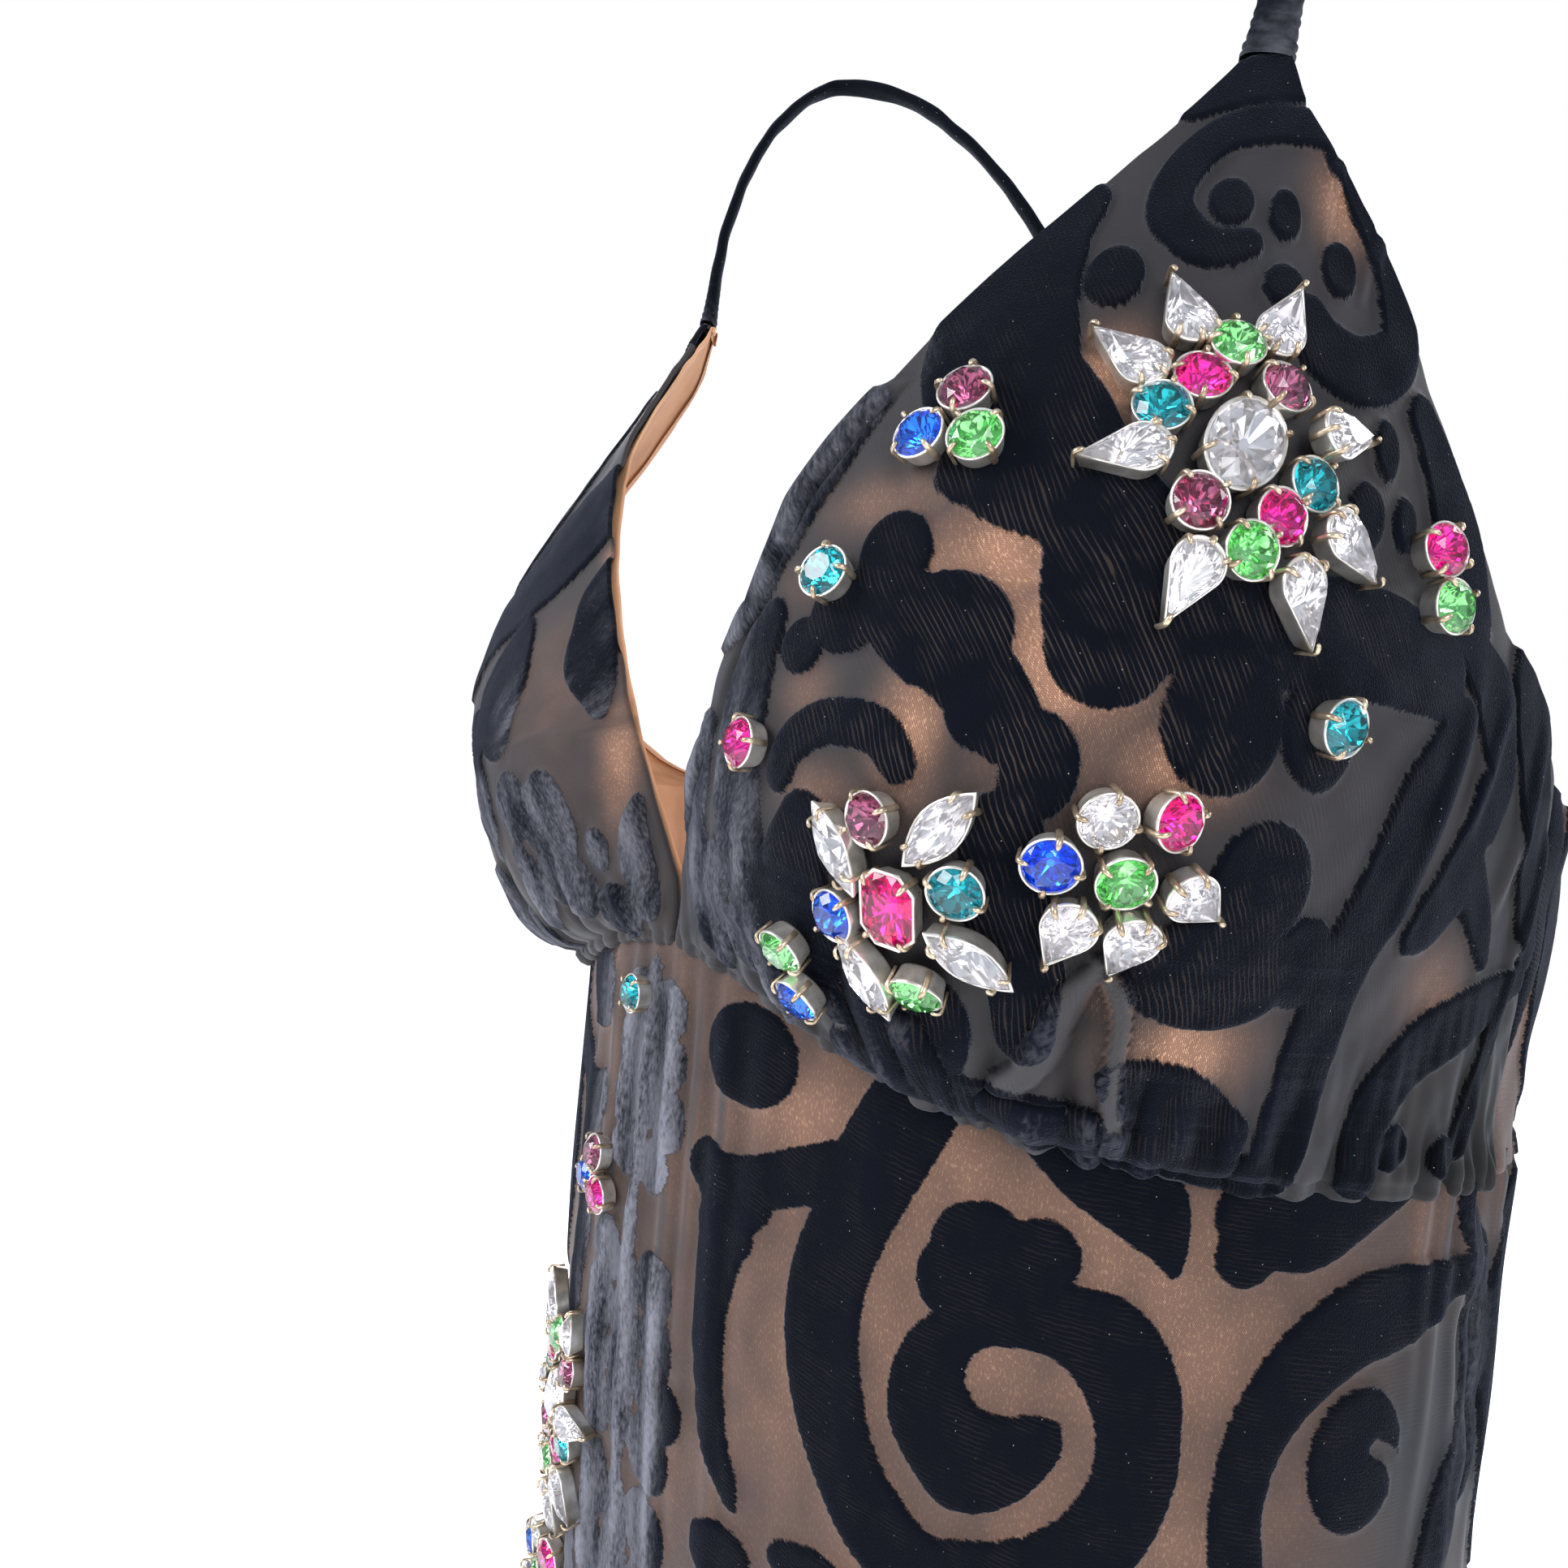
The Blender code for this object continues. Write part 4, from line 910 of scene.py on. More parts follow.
def creaseRise(angle, height):
    total = np.zeros_like(angle)
    x, y = angle * patternScale["cup"], height * 1000.0
    for a0, h0, a1, h1, half, rise in cupSet["creases"]:
        ax, bx = a0 * patternScale["cup"], a1 * patternScale["cup"]
        dx, dy = bx - ax, h1 - h0
        s = ((x - ax) * dx + (y - h0) * dy) / (dx * dx + dy * dy)
        off = np.abs((x - ax) * dy - (y - h0) * dx) / np.hypot(dx, dy)
        ends = unit(1.0 - (2.0 * np.abs(s - 0.5)) ** 4)
        total += rise * 0.001 * bell(off / half) * ends
    return total


def ridgeRise(angle, height):
    total = np.zeros(angle.shape)
    for rise, places in cupSet["ridges"]:
        inside = np.full(angle.shape, -8.0)
        strokeInside(angle * patternScale["cup"], height * 1000.0,
                     [(a * patternScale["cup"], h, half) for a, h, half in places], inside)
        widest = max(half for _, _, half in places)
        part = unit(inside / widest)
        total = np.maximum(total, rise * 0.001 * np.sqrt(part * (2.0 - part)))
    return total


def rollFullness(angle):
    # The seam edge of the cup is rolled and pinched into lumps.
    pinches, fullness = np.array(cupSet["pinches"]), np.array(cupSet["fullness"])
    low = np.clip(np.searchsorted(pinches, angle) - 1, 0, len(fullness) - 1)
    part = unit((angle - pinches[low]) / (pinches[low + 1] - pinches[low]))
    return 0.001 * (0.5 + fullness[low] * np.sin(np.pi * part) ** 0.6)


def neckLobe(level):
    # How full the folded edge of the left neckline is at each level, from 0 to 1.
    full = np.zeros_like(level)
    for low, high in cupSet["neckLobes"]:
        part = unit((level - low) / (high - low))
        full = np.maximum(full, np.sin(np.pi * part**1.5) ** 0.45)
    return full


def cupFolds(angle, height, side, lobe, fromEdge):
    # How far the gathers, creases, folded edge and small unevenness of the worn cup stand out.
    mm = height * 1000.0
    out = gatherRise(angle, height)
    if side > 0:
        out = out + creaseRise(angle, height) + ridgeRise(angle, height)
        out = out + 0.0016 * lobe * np.exp(-(((fromEdge - 0.9) / 1.1) ** 4))
        out = out - 0.0006 * lobe * bell((fromEdge - 2.5) / 0.35)
    above = np.maximum(height - seamHeight(angle), 0.0)
    out = out + rollFullness(angle) * bell(above / 0.0055)
    across = angle * 2.8
    out = out + 0.00035 * softNoise(across, mm, 34.0, 21) + 0.00018 * softNoise(across, mm, 13.0, 22)
    lowPart = np.exp(-above / 0.016)
    return out + 0.0007 * lowPart * softNoise(angle * 5.6, mm * 0.5, 11.0, 23)


def cupGrid(columns, levels, seamGap, side):
    # Angle and height of each place of a cup, rows from the seam to the tip.
    levels = np.array(levels)[:, None]
    first = edgeAngle(necklines[side], levels) + seamGap
    first = first - (0.55 * neckLobe(levels) if side > 0 else 0.0)
    last = edgeAngle(armholes[side], levels) - seamGap
    angle = first + (last - first) * np.linspace(0.0, 1.0, columns + 1)[None, :]
    rise = levels / gown["cupTip"]
    return angle, (1.0 - rise) * seamHeight(angle) + rise * gown["cupTip"]


def rowLine(angle, height):
    # Which row of the pile a place is in, in cm: steep rows that lean more towards the tip.
    mm = height * 1000.0
    lean = 0.1 * mm + 0.0022 * np.minimum(mm, 90.0) ** 2 + 0.4 * np.maximum(mm - 90.0, 0.0)
    return 0.1 * (0.9 * angle * patternScale["cup"] + lean)


cupFinish = {
    # how far the pile is crushed, its grey sheen painted into the colour, on the wearer's left (1) and right
    # (-1)
    "neckCrushSheen": {1: 0.66, -1: 0.28},
    "neckWidth": 4.2,
    "seamCrushSheen": {1: 0.75, -1: 0.30},
    "seamReach": 0.014,
    "frontCrushSheen": 0.60,
    "sideCrushSheen": 0.18,
    "lowCrushSheen": {1: 0.0, -1: 0.62},
    "allCrushSheen": 0.06,
    # how far the lining shows everywhere, and how open the rows are over the bust
    "leastShow": {1: 0.02, -1: 0.04},
    "stretch": 0.80,
    "leastStretch": 0.06,
    # painted shade: darker cloth at the side, below the arc and along the seam
    "sideShade": 0.55,
    "arcShade": 0.40,
    "seamShade": 0.50,
    # below the seam the edge rolls under: how far down, and how full it is there
    "under": [(0.0018, -0.45), (0.0034, -0.2), (0.0042, 0.15), (0.0040, 0.55), (0.0030, 0.85),
              (0.0012, 1.0)],
    "hem": (0.0014, 0.0022),  # thickness and width of the turned edge
    "liningHem": (0.0008, 0.003),
}


def cupCrushSheen(angle, height, above, fromEdge, side):
    # How far the pile is crushed, its grey sheen painted into the colour: along the neckline, above the seam
    # in front and at the side.
    look = cupFinish
    edge = look["neckCrushSheen"][side] * bell(fromEdge / look["neckWidth"]) * unit((0.150 - height) / 0.02)
    seam = look["seamCrushSheen"][side] * np.exp(-above / look["seamReach"]) * unit((34.0 - angle) / 8.0)
    front = look["frontCrushSheen"] * unit((26.0 - angle) / 6.0) * unit((0.10 - height) / 0.03)
    beside = look["sideCrushSheen"] * unit((angle - 76.0) / 6.0)
    low = look["lowCrushSheen"][side] * unit((0.062 - height) / 0.01) * unit((angle - 6.0) / 2.0)
    return unit(np.maximum.reduce([edge, seam, front, beside, low]) + look["allCrushSheen"])


# Painted shade, taken off the mark of folds: darker at the side, below the arc and along the rolled seam.
def cupShade(angle, height, above):
    side = cupFinish["sideShade"] * unit((angle - 74.0) / 12.0)
    arc = cupFinish["arcShade"] * unit((angle - 69.0) / 6.0) * unit((0.030 - height) / 0.010)
    return side + arc + cupFinish["seamShade"] * unit((angle - 48.0) / 6.0) * bell(above / 0.006)


def rollUnder(angle, height, foot):
    # Rows below the seam, from the last one hidden behind it up to the seam.
    outward = figurePoint(angle, height, 0.001) - figurePoint(angle, height)
    outward = outward / np.linalg.norm(outward, axis=1, keepdims=True)
    full = (rollFullness(angle) + gatherRise(angle, height))[:, None]
    deep = 0.8 * (0.55 + 0.16 * full / 0.001)
    rows = []
    for drop, back in cupFinish["under"]:
        row = foot - np.array([0.0, 0.0, drop]) * deep
        rows.insert(0, row - outward * (0.9 * full * min(back + 0.45, 1.0) + 0.001 * max(back, 0.0)))
    return rows


def makeCup(word, side, finish, fine):
    # A finer grid where the camera is near.
    levels = levelsBetween((0.0, 0.03, int(44 * fine)), (0.03, gown["cupTip"], int(192 * fine)))
    angle, height = cupGrid(int(cupSet["columns"] * fine), levels, gown["seamGap"], side)
    folds = cupFolds(angle, height, side, neckLobe(levels)[:, None], angle - angle[:, :1])
    points = figurePoint(angle, height, bustRise(angle, height, side) + folds)
    points = np.concatenate([rollUnder(angle[0], height[0], points[0]), points])
    drops = np.array([drop for drop, _ in cupFinish["under"][::-1]])[:, None]
    angle = np.concatenate([np.repeat(angle[:1], len(drops), axis=0), angle])
    height = np.concatenate([height[0] - drops, height])
    folds = np.concatenate([folds[:1] * np.linspace(0.1, 0.9, len(drops))[:, None], folds])
    depth = patternDepth(cupPatterns[side], angle, height, "cup")
    above = np.maximum(height - seamHeight(angle), 0.0)
    fullest = np.exp(-(((angle - 44.0) / 17.0) ** 2) - (((height - 0.070) / 0.055) ** 2))
    spots = showSpots["cup" if side > 0 else "farCup"]
    # the mark of folds carries painted light on raised folds and the cup's painted shade
    marks = marksOn(points, pile=depth, row=rowLine(angle, height),
                    show=showThrough(spots, angle, height, cupFinish["leastShow"][side]),
                    stretch=fullest * cupFinish["stretch"] + cupFinish["leastStretch"],
                    crush=cupCrushSheen(angle, height, above, angle - angle[:, :1], side),
                    fold=foldMark(folds) - cupShade(angle, height, above))
    normals = gridNormals(points)
    points = raisePile(points, normals, depth)
    points, marks = turnEdges(points, normals, marks, ("first", "last", "top"), *cupFinish["hem"])
    made = meshFromGrid("velvetCup_" + word, mirrored(points, side), marks, finish, side)
    standFor("cup_" + word)
    return made


def makeCupLining(word, side, finish):
    levels = levelsBetween((0.0, gown["cupTip"] - 0.0015, 90))
    angle, height = cupGrid(110, levels, gown["liningGap"], side)
    out = bustRise(angle, height, side) - gown["liningInset"]
    out = out + 0.0003 * softNoise(angle * 2.8, height * 1000.0, 22.0, 31)
    points = figurePoint(angle, height + 0.0003, out)
    points, marks = turnEdges(points, gridNormals(points), marksOn(points), ("first", "last", "top"),
                              *cupFinish["liningHem"])
    made = meshFromGrid("liningCup_" + word, mirrored(points, side), marks, finish, side)
    standFor("cup_lining_" + word)


# Back band

backTops = {  # angle and height along the top edge
    1: [(93.0, 0.070), (105.0, 0.058), (125.0, 0.050), (150.0, 0.046), (180.0, 0.046)],
    -1: [(93.0, 0.048), (125.0, 0.047), (150.0, 0.046), (180.0, 0.046)],
}


backSet = {
    "velvetGrid": (200, 90),
    "liningGrid": (70, 30),
    "liningShort": 0.0015,
    "patternDrop": 0.095,  # m that the skirt's figures are moved down to run over it
    "show": 0.24,
    "stretch": 0.45,
    # crushed nap, its grey sheen painted into the colour
    "crush": 0.15,
    "hem": (0.0010, 0.004),
}


def backPlaces(side, grid, gap, short):
    columns, rows = grid
    turn = np.linspace(gown["sideSeam"] + gap, 180.0 - gap, columns + 1)
    part = np.linspace(0.0, 1.0, rows)[:, None]
    top = np.interp(turn, *zip(*backTops[side])) - short
    height = (1.0 - part) * seamHeight(turn) + part * top
    angle = np.broadcast_to(turn, height.shape)
    edge = np.minimum(angle - gown["sideSeam"], 180.0 - angle)
    out = 0.0006 * softNoise(angle * 2.3, height * 1000.0, 26.0, 41) - 0.0012 * np.exp(-edge / 0.8)
    return angle, height, out


def makeBack(word, side, velvet, lining):
    angle, height, out = backPlaces(side, backSet["velvetGrid"], gown["seamGap"], 0.0)
    fullness = 0.0016 * (0.6 + 0.4 * np.abs(softNoise(angle * 2.3, 0.0, 22.0, 42)))
    points = figurePoint(angle, height, out + fullness * bell((height - seamHeight(angle)) / 0.005))
    across = foldBack(angle, skirtRepeat["start"], skirtRepeat["length"])
    depth = patternDepth(skirtPattern, across, height - backSet["patternDrop"], "skirt")
    cloud = 0.08 * softNoise(angle * 2.2, height * 1000, 60.0, 43)
    marks = marksOn(points, pile=depth, show=backSet["show"] + cloud, stretch=backSet["stretch"],
                    crush=backSet["crush"])
    marks["row"] = marks["up"] * 100.0
    normals = gridNormals(points)
    points = raisePile(points, normals, depth)
    points, marks = turnEdges(points, normals, marks, ("top", "bottom"), *backSet["hem"])
    made = meshFromGrid("velvetBack_" + word, mirrored(points, side), marks, velvet, side)
    standFor("back_" + word)

    angle, height, out = backPlaces(side, backSet["liningGrid"], gown["liningGap"], backSet["liningShort"])
    points = figurePoint(angle, height, out * 0.3 - gown["liningInset"])
    points, marks = turnEdges(points, gridNormals(points), marksOn(points), ("top",), *backSet["hem"])
    made = meshFromGrid("liningBack_" + word, mirrored(points, side), marks, lining, side)
    standFor("back_lining_" + word)


# Straps

strapSet = {
    "width": 0.0078,
    "thick": 0.0034,
    # x, y, height and turn in degrees of each place on its way over the shoulder
    "route": [(0.1020, -0.0380, 0.243, 34.0), (0.1012, -0.0195, 0.281, 20.0), (0.1000, 0.0020, 0.2998, 22.0),
              (0.0805, 0.0140, 0.294, 50.0), (0.0560, 0.0270, 0.273, 54.0), (0.0360, 0.0500, 0.236, 34.0),
              (0.0280, 0.0780, 0.183, 12.0), (0.0280, 0.0980, 0.115, -4.0)],
    "frontTurn": 39.0,
    "backTurn": -12.0,
    "backAngle": 168.0,
    "steps": 420,
    "round": 41,
    "sunk": 0.0006,  # it starts a little below its seam, so that it hides its own end
}


def strapLine(side):
    # Places and turns along the strap, from the cup's tip to the back band.
    middle = 0.5 * (necklines[side][-1][1] + armholes[side][-1][1])
    top = np.interp(strapSet["backAngle"], *zip(*backTops[side]))
    points = [plainCup(middle, gown["cupTip"], side)]
    points += [np.array([x, y, h - gown["strapTop"]]) for x, y, h, _ in strapSet["route"]]
    points.append(figurePoint(strapSet["backAngle"], top))
    turns = [strapSet["frontTurn"]] + [r[3] for r in strapSet["route"]] + [strapSet["backTurn"]]
    points = np.array(points)
    runs = np.concatenate([[0.0], np.cumsum(np.linalg.norm(np.diff(points, axis=0), axis=1))])
    at = np.linspace(0.0, runs[-1], strapSet["steps"] + 1)
    line = np.stack([smoothLine({"height": runs, "run": points[:, k]}, "run", at) for k in range(3)], axis=1)
    return line, np.radians(np.interp(at, runs, turns)), at


def makeStrap(word, side, finish):
    line, turn, at = strapLine(side)
    ahead = np.gradient(line, axis=0)
    ahead = ahead / np.linalg.norm(ahead, axis=1, keepdims=True)
    across = np.stack([np.cos(turn), np.sin(turn), 0.0 * turn], axis=1)
    across = across - ahead * np.sum(across * ahead, axis=1, keepdims=True)
    across = across / np.linalg.norm(across, axis=1, keepdims=True)
    out = np.cross(across, ahead)
    # from the seam on its inner face, all round
    around = np.linspace(-0.5 * math.pi, 1.5 * math.pi, strapSet["round"])
    # flat tube, gathered and a little wider where it is sewn to the cup
    front = np.exp(-at / 0.010)[:, None]
    ruche = 1.0 + 0.10 * front * np.sin(at * 2600.0)[:, None]
    wide = 0.5 * strapSet["width"] * (1.0 + 0.30 * front) * ruche
    thick = 0.5 * strapSet["thick"] * (1.0 + 0.5 * front) * ruche
    x = wide * np.sign(np.cos(around)) * np.abs(np.cos(around)) ** 0.8
    y = thick * np.sign(np.sin(around)) * np.abs(np.sin(around)) ** 0.8
    crinkle = softNoise(at[:, None] * 1000.0, np.cos(around)[None, :] * 6.0, 16.0, 51)
    y = y + 0.0002 * crinkle - strapSet["sunk"]
    points = line[:, None, :] + across[:, None, :] * x[:, :, None] + out[:, None, :] * y[:, :, None]
    # crushed nap, most near the cup, its grey sheen painted into the colour
    marks = marksOn(points, along=around * 0.0012, up=at[:, None], pile=6.0, show=0.1, stretch=0.05,
                    crush=0.15 + 0.4 * np.exp(-at / 0.02)[:, None], row=at[:, None] * 100.0)
    made = meshFromGrid("strap_velvet_" + word, mirrored(points, side), marks, finish, -side)
    standFor("strap_" + word)


# Skirt

skirtSet = {
    "velvetGrid": {"front": 165, "back": 110},  # rows in its top part
    "columns": 300,
    "liningGrid": (90, 80),
    "hem": (0.0012, 0.012),
    # how far the lining shows, and painted shade where it shows less: at the side and left of the front
    "show": 0.25,
    "sideShade": 0.24,
    "leftShade": 0.06,
    "stretch": 0.16,
    # how far the pile is crushed, its grey sheen painted into the colour: in front, beside the side seams
    # and everywhere
    "frontCrushSheen": 0.78,
    "sideCrushSheen": 0.35,
    "allCrushSheen": 0.12,
    # share of the mark of folds painted as light on raised folds and shade in sunk ones
    "foldShare": 0.6,
    "pucker": 0.0016,  # along the side seams
    # angle, half width, rise and start height of each flute the skirt falls in
    "flutes": [(-72.0, 15.0, 0.030, -0.36), (-38.0, 14.0, 0.026, -0.44), (-7.0, 13.0, 0.030, -0.33),
               (30.0, 15.0, 0.024, -0.40), (65.0, 14.0, 0.032, -0.38), (112.0, 14.0, 0.030, -0.42),
               (143.0, 13.0, 0.026, -0.36), (175.0, 14.0, 0.034, -0.34), (207.0, 13.0, 0.027, -0.43),
               (243.0, 15.0, 0.031, -0.37)],
    # soft upright folds: angle, lean in degrees a metre, half width, rise in mm, foot height in mm
    "folds": [(-13.0, 20, 1.6, 1.3, -260), (-8.0, -15, 1.2, 1.5, -230), (-3.5, 10, 1.1, 1.2, -240),
              (1.5, 25, 1.2, 1.5, -250), (5.5, 15, 0.9, 1.2, -150), (9.5, 30, 1.2, 1.2, -200),
              (14.5, 10, 1.4, 0.7, -120), (-19.0, -10, 1.6, 1.1, -200), (27.5, 0, 2.2, 0.5, -200),
              (80.5, 10, 1.1, 1.1, -60), (84.5, -20, 1.0, 1.6, -90), (88.0, 5, 0.9, 1.5, -110),
              (98.0, 20, 1.2, 1.6, -120), (103.0, -10, 1.4, 1.4, -100), (-84.0, 15, 1.2, 1.6, -110),
              (-89.0, 5, 0.9, 1.4, -100), (-98.0, -15, 1.2, 1.6, -120), (-55.0, 0, 2.4, 0.7, -160),
              (150.0, 8, 1.6, 1.2, -140), (178.0, 0, 1.5, 1.3, -170), (-150.0, -8, 1.6, 1.2, -140),
              (125.0, 6, 1.8, 0.9, -110), (-125.0, -6, 1.8, 0.9, -110)],
}


def skirtFolds(angle, height):
    total = np.zeros_like(angle)
    for a, lean, half, rise, foot in skirtSet["folds"]:
        apart = halfTurns(halfTurns(angle) - a + lean * height)
        fade = unit(1.0 - height / (foot * 0.001)) ** 0.8
        total += rise * 0.001 * bell(apart / half) * fade * unit(1.0 - height / 0.03)
    return total


def skirtOut(angle, height):
    around = halfTurns(angle)
    total = skirtFolds(angle, height)
    for a, half, rise, top in skirtSet["flutes"]:
        across = np.cos(0.5 * np.pi * np.minimum(np.abs(halfTurns(angle - a)) / half, 1.0)) ** 2
        total += rise * across * unit((top - height) / (top + gown["skirtLength"])) ** 1.5
    mm = height * 1000.0
    total += 0.0003 * softNoise(around * 2.2, mm, 46.0, 61)
    edge = np.abs(np.abs(around) - gown["sideSeam"])
    pucker = skirtSet["pucker"] * bell(edge / 5.0) * unit((height + 0.34) / 0.10)
    total += pucker * softNoise(around * 1.1, mm, 26.0, 62)
    return total - 0.0013 * np.exp(-edge / 0.6)


def skirtPlaces(start, end, rows, columns, gap, length):
    # Angle and height of each place, rows from the hem to the seam; the side seam stays as narrow
    # where the skirt widens.
    fall = rows[::-1, None]
    narrow = gap * (figure["halfWidth"][5] / smoothLine(figure, "halfWidth", -fall * length)) ** 2
    angle = start + narrow + (end - start - 2.0 * narrow) * np.linspace(0.0, 1.0, columns + 1)[None, :]
    return angle, (1.0 - fall) * seamHeight(angle) - fall * length, fall


def skirtMarks(points, angle, height, depth):
    look = skirtSet
    around = halfTurns(angle)
    even = np.clip(look["show"] + 0.08 * softNoise(angle * 2.2, height * 1000, 120.0, 71), 0.12, 0.45)
    side = look["sideShade"] * unit((around - 66.0) / 14.0) * bell((height + 0.06) / 0.05)
    left = look["leftShade"] * unit((8.0 - around) / 14.0)
    show = np.maximum(even, showThrough(showSpots["skirt"], around, height, 0.0) + 0.2) - side - left
    front = look["frontCrushSheen"] * unit((13.5 - np.abs(around + 6.0)) / 4.0)
    beside = look["sideCrushSheen"] * bell((np.abs(around) - gown["sideSeam"]) / 7.0)
    high = unit((height + 0.30) / 0.14)  # the crushed stretch ends below the waist
    marks = marksOn(points, pile=depth, show=unit(show), stretch=look["stretch"],
                    crush=unit(np.maximum(front, beside) * high + look["allCrushSheen"]),
                    fold=look["foldShare"] * foldMark(skirtFolds(angle, height), 20, 0.0006))
    marks["row"] = marks["up"] * 100.0
    return marks


def makeSkirt(word, start, end, velvet, lining):
    rows = levelsBetween((-0.0035, 0.185, skirtSet["velvetGrid"][word]), (0.185, 1.0, 118))
    angle, height, fall = skirtPlaces(start, end, rows, skirtSet["columns"], gown["seamGap"],
                                      gown["skirtLength"])
    points = figurePoint(angle, height, skirtOut(angle, height) - 0.0006 * (fall < 0.0))
    depth = skirtDepth(angle, height)
    marks = skirtMarks(points, angle, height, depth)
    normals = gridNormals(points)
    points = raisePile(points, normals, depth)
    points, marks = turnEdges(points, normals, marks, ("bottom",), *skirtSet["hem"])
    made = meshFromGrid("velvetSkirt_" + word, points, marks, velvet)
    standFor("skirt_" + word)

    columns, count = skirtSet["liningGrid"]
    length = gown["skirtLength"] - gown["liningShort"]
    angle, height, _ = skirtPlaces(start, end, levelsBetween((0.0, 1.0, count)), columns,
                                   gown["liningGap"], length)
    points = figurePoint(angle, height, -gown["liningInset"])
    points, marks = turnEdges(points, gridNormals(points), marksOn(points), ("bottom",), *skirtSet["hem"])
    under = meshFromGrid("liningSkirt_" + word, points, marks, lining)
    standFor("skirt_lining_" + word)
    return made


# Stones in claw settings, sewn on in groups

stoneCuts = {  # length and width in mm, and where its claws sit, of 32 places round the rim
    "round": (8.6, 8.6, (4, 12, 20, 28)),
    "oval": (17.2, 12.2, (4, 12, 20, 28)),
    "octagon": (12.6, 9.6, (4, 12, 20, 28)),
    "navette": (15.8, 7.2, (4, 12, 20, 28)),
    "pear": (13.5, 7.8, (0, 9, 16, 23)),
    "drop": (11.2, 8.0, (0, 9, 16, 23)),
}
settingSet = {
    "grow": 1.08,  # with the thickness of its wall
    # share of the rim and height in mm of each ring of the wall, from its foot to its inner lip
    "wall": [(0.55, 0.02), (0.86, 0.0), (0.885, 0.35), (0.985, 2.7), (1.035, 3.15), (1.05, 3.5),
             (1.02, 3.72), (0.955, 3.6), (0.93, 3.2)],
    # mm off the rim, height and width of a claw, from its foot to its tip over the stone
    "claw": [(0.02, 0.7, 1.15), (0.14, 2.2, 1.10), (0.28, 3.3, 1.05), (0.30, 4.0, 1.00), (0.08, 4.42, 0.96),
             (-0.38, 4.68, 0.92), (-0.80, 4.72, 0.74), (-0.98, 4.62, 0.38)],
    # share of its width and height in mm round a claw's section
    "section": [(-0.5, 0.0), (-0.36, 0.30), (0.0, 0.42), (0.36, 0.30), (0.5, 0.0), (0.0, -0.12)],
    "tilt": 3.0,   # degrees that a stone may sit off level
    "steep": 15.0,  # one that leans more sinks into the pile
    "sunk": 0.0002,
}
foilColours = {
    "clear": (0.99, 0.965, 0.98),
    "green": (0.34, 0.85, 0.34),
    "pink": (0.92, 0.02, 0.40),
    "ruby": (0.90, 0.006, 0.37),
    "plum": (0.44, 0.12, 0.23),
    "teal": (0.005, 0.48, 0.54),
    "blue": (0.01, 0.20, 0.88),
}
# Each place in a group: cut, distance in mm, bearing, turn of its length and colour,
# then which way its face leans and by how much.
halfFlower = [
    ("round", 17.5, 86.0, 0.0, "green", 80.0, 8.0), ("round", 12.3, 114.0, 0.0, "pink", 100.0, 6.0),
    ("round", 13.5, 52.0, 0.0, "plum", 50.0, 10.0), ("round", 13.0, 156.0, 0.0, "teal", 180.0, 8.0),
    ("pear", 25.8, 105.0, 105.0, "clear", 240.0, 3.0), ("pear", 25.8, 66.0, 62.0, "clear", 240.0, 3.0),
    ("pear", 22.8, 137.0, 139.0, "clear", 200.0, 4.0), ("pear", 18.6, 190.0, 188.0, "clear", 190.0, 6.0),
]
outerLeans = (8.0, 6.0, 6.0, 4.0, 12.0, 8.0, 8.0, 16.0)
wholeFlower = [("oval", 0.0, 0.0, 52.0, "clear", 0.0, 4.0)] + halfFlower + [
    (cut, distance, bearing + 180.0, turn + 180.0, colour, bearing + 180.0, lean)
    for (cut, distance, bearing, turn, colour, _, _), lean in zip(halfFlower, outerLeans)]
octagonGroup = [
    ("octagon", 1.6, 55.0, 84.0, "ruby", 200.0, 8.0), ("round", 15.4, 98.0, 0.0, "plum", 190.0, 15.0),
    ("round", 12.8, 28.0, 0.0, "teal", 260.0, 12.0), ("round", 11.6, -70.0, 0.0, "green", 262.0, 26.0),
    ("round", 9.4, 189.0, 0.0, "blue", 190.0, 12.0), ("navette", 17.0, 58.0, 47.0, "clear", 150.0, 6.0),
    ("navette", 13.4, -17.0, -39.0, "clear", 280.0, 14.0),
    ("navette", 13.0, 129.0, 122.0, "clear", 195.0, 22.0),
    ("navette", 11.2, 251.0, -68.0, "clear", 205.0, 20.0),
]
fanGroup = [
    ("round", 0.0, 0.0, 0.0, "green", 262.0, 16.0), ("round", 11.0, 168.0, 0.0, "blue", 250.0, 10.0),
    ("round", 9.8, 112.0, 0.0, "clear", 275.0, 16.0), ("round", 10.2, 58.0, 0.0, "ruby", -20.0, 20.0),
    ("drop", 11.2, -12.0, -34.0, "clear", -70.0, 18.0), ("drop", 11.6, 229.0, 248.0, "clear", 240.0, 12.0),
    ("drop", 10.2, -80.0, 252.0, "clear", 262.0, 16.0),
]


def tripleOf(first, second, third):
    return [("round", 5.4, bearing, 0.0, colour, bearing, 4.0)
            for bearing, colour in ((80.0, first), (200.0, second), (-40.0, third))]


def pairOf(upper, lower, way, lean):
    return [("round", 4.6, 100.0, 0.0, upper, way, lean), ("round", 4.6, 280.0, 0.0, lower, way, lean)]


def singleOf(colour, way=0.0, lean=0.0):
    return [("round", 0.0, 0.0, 0.0, colour, way, lean)]


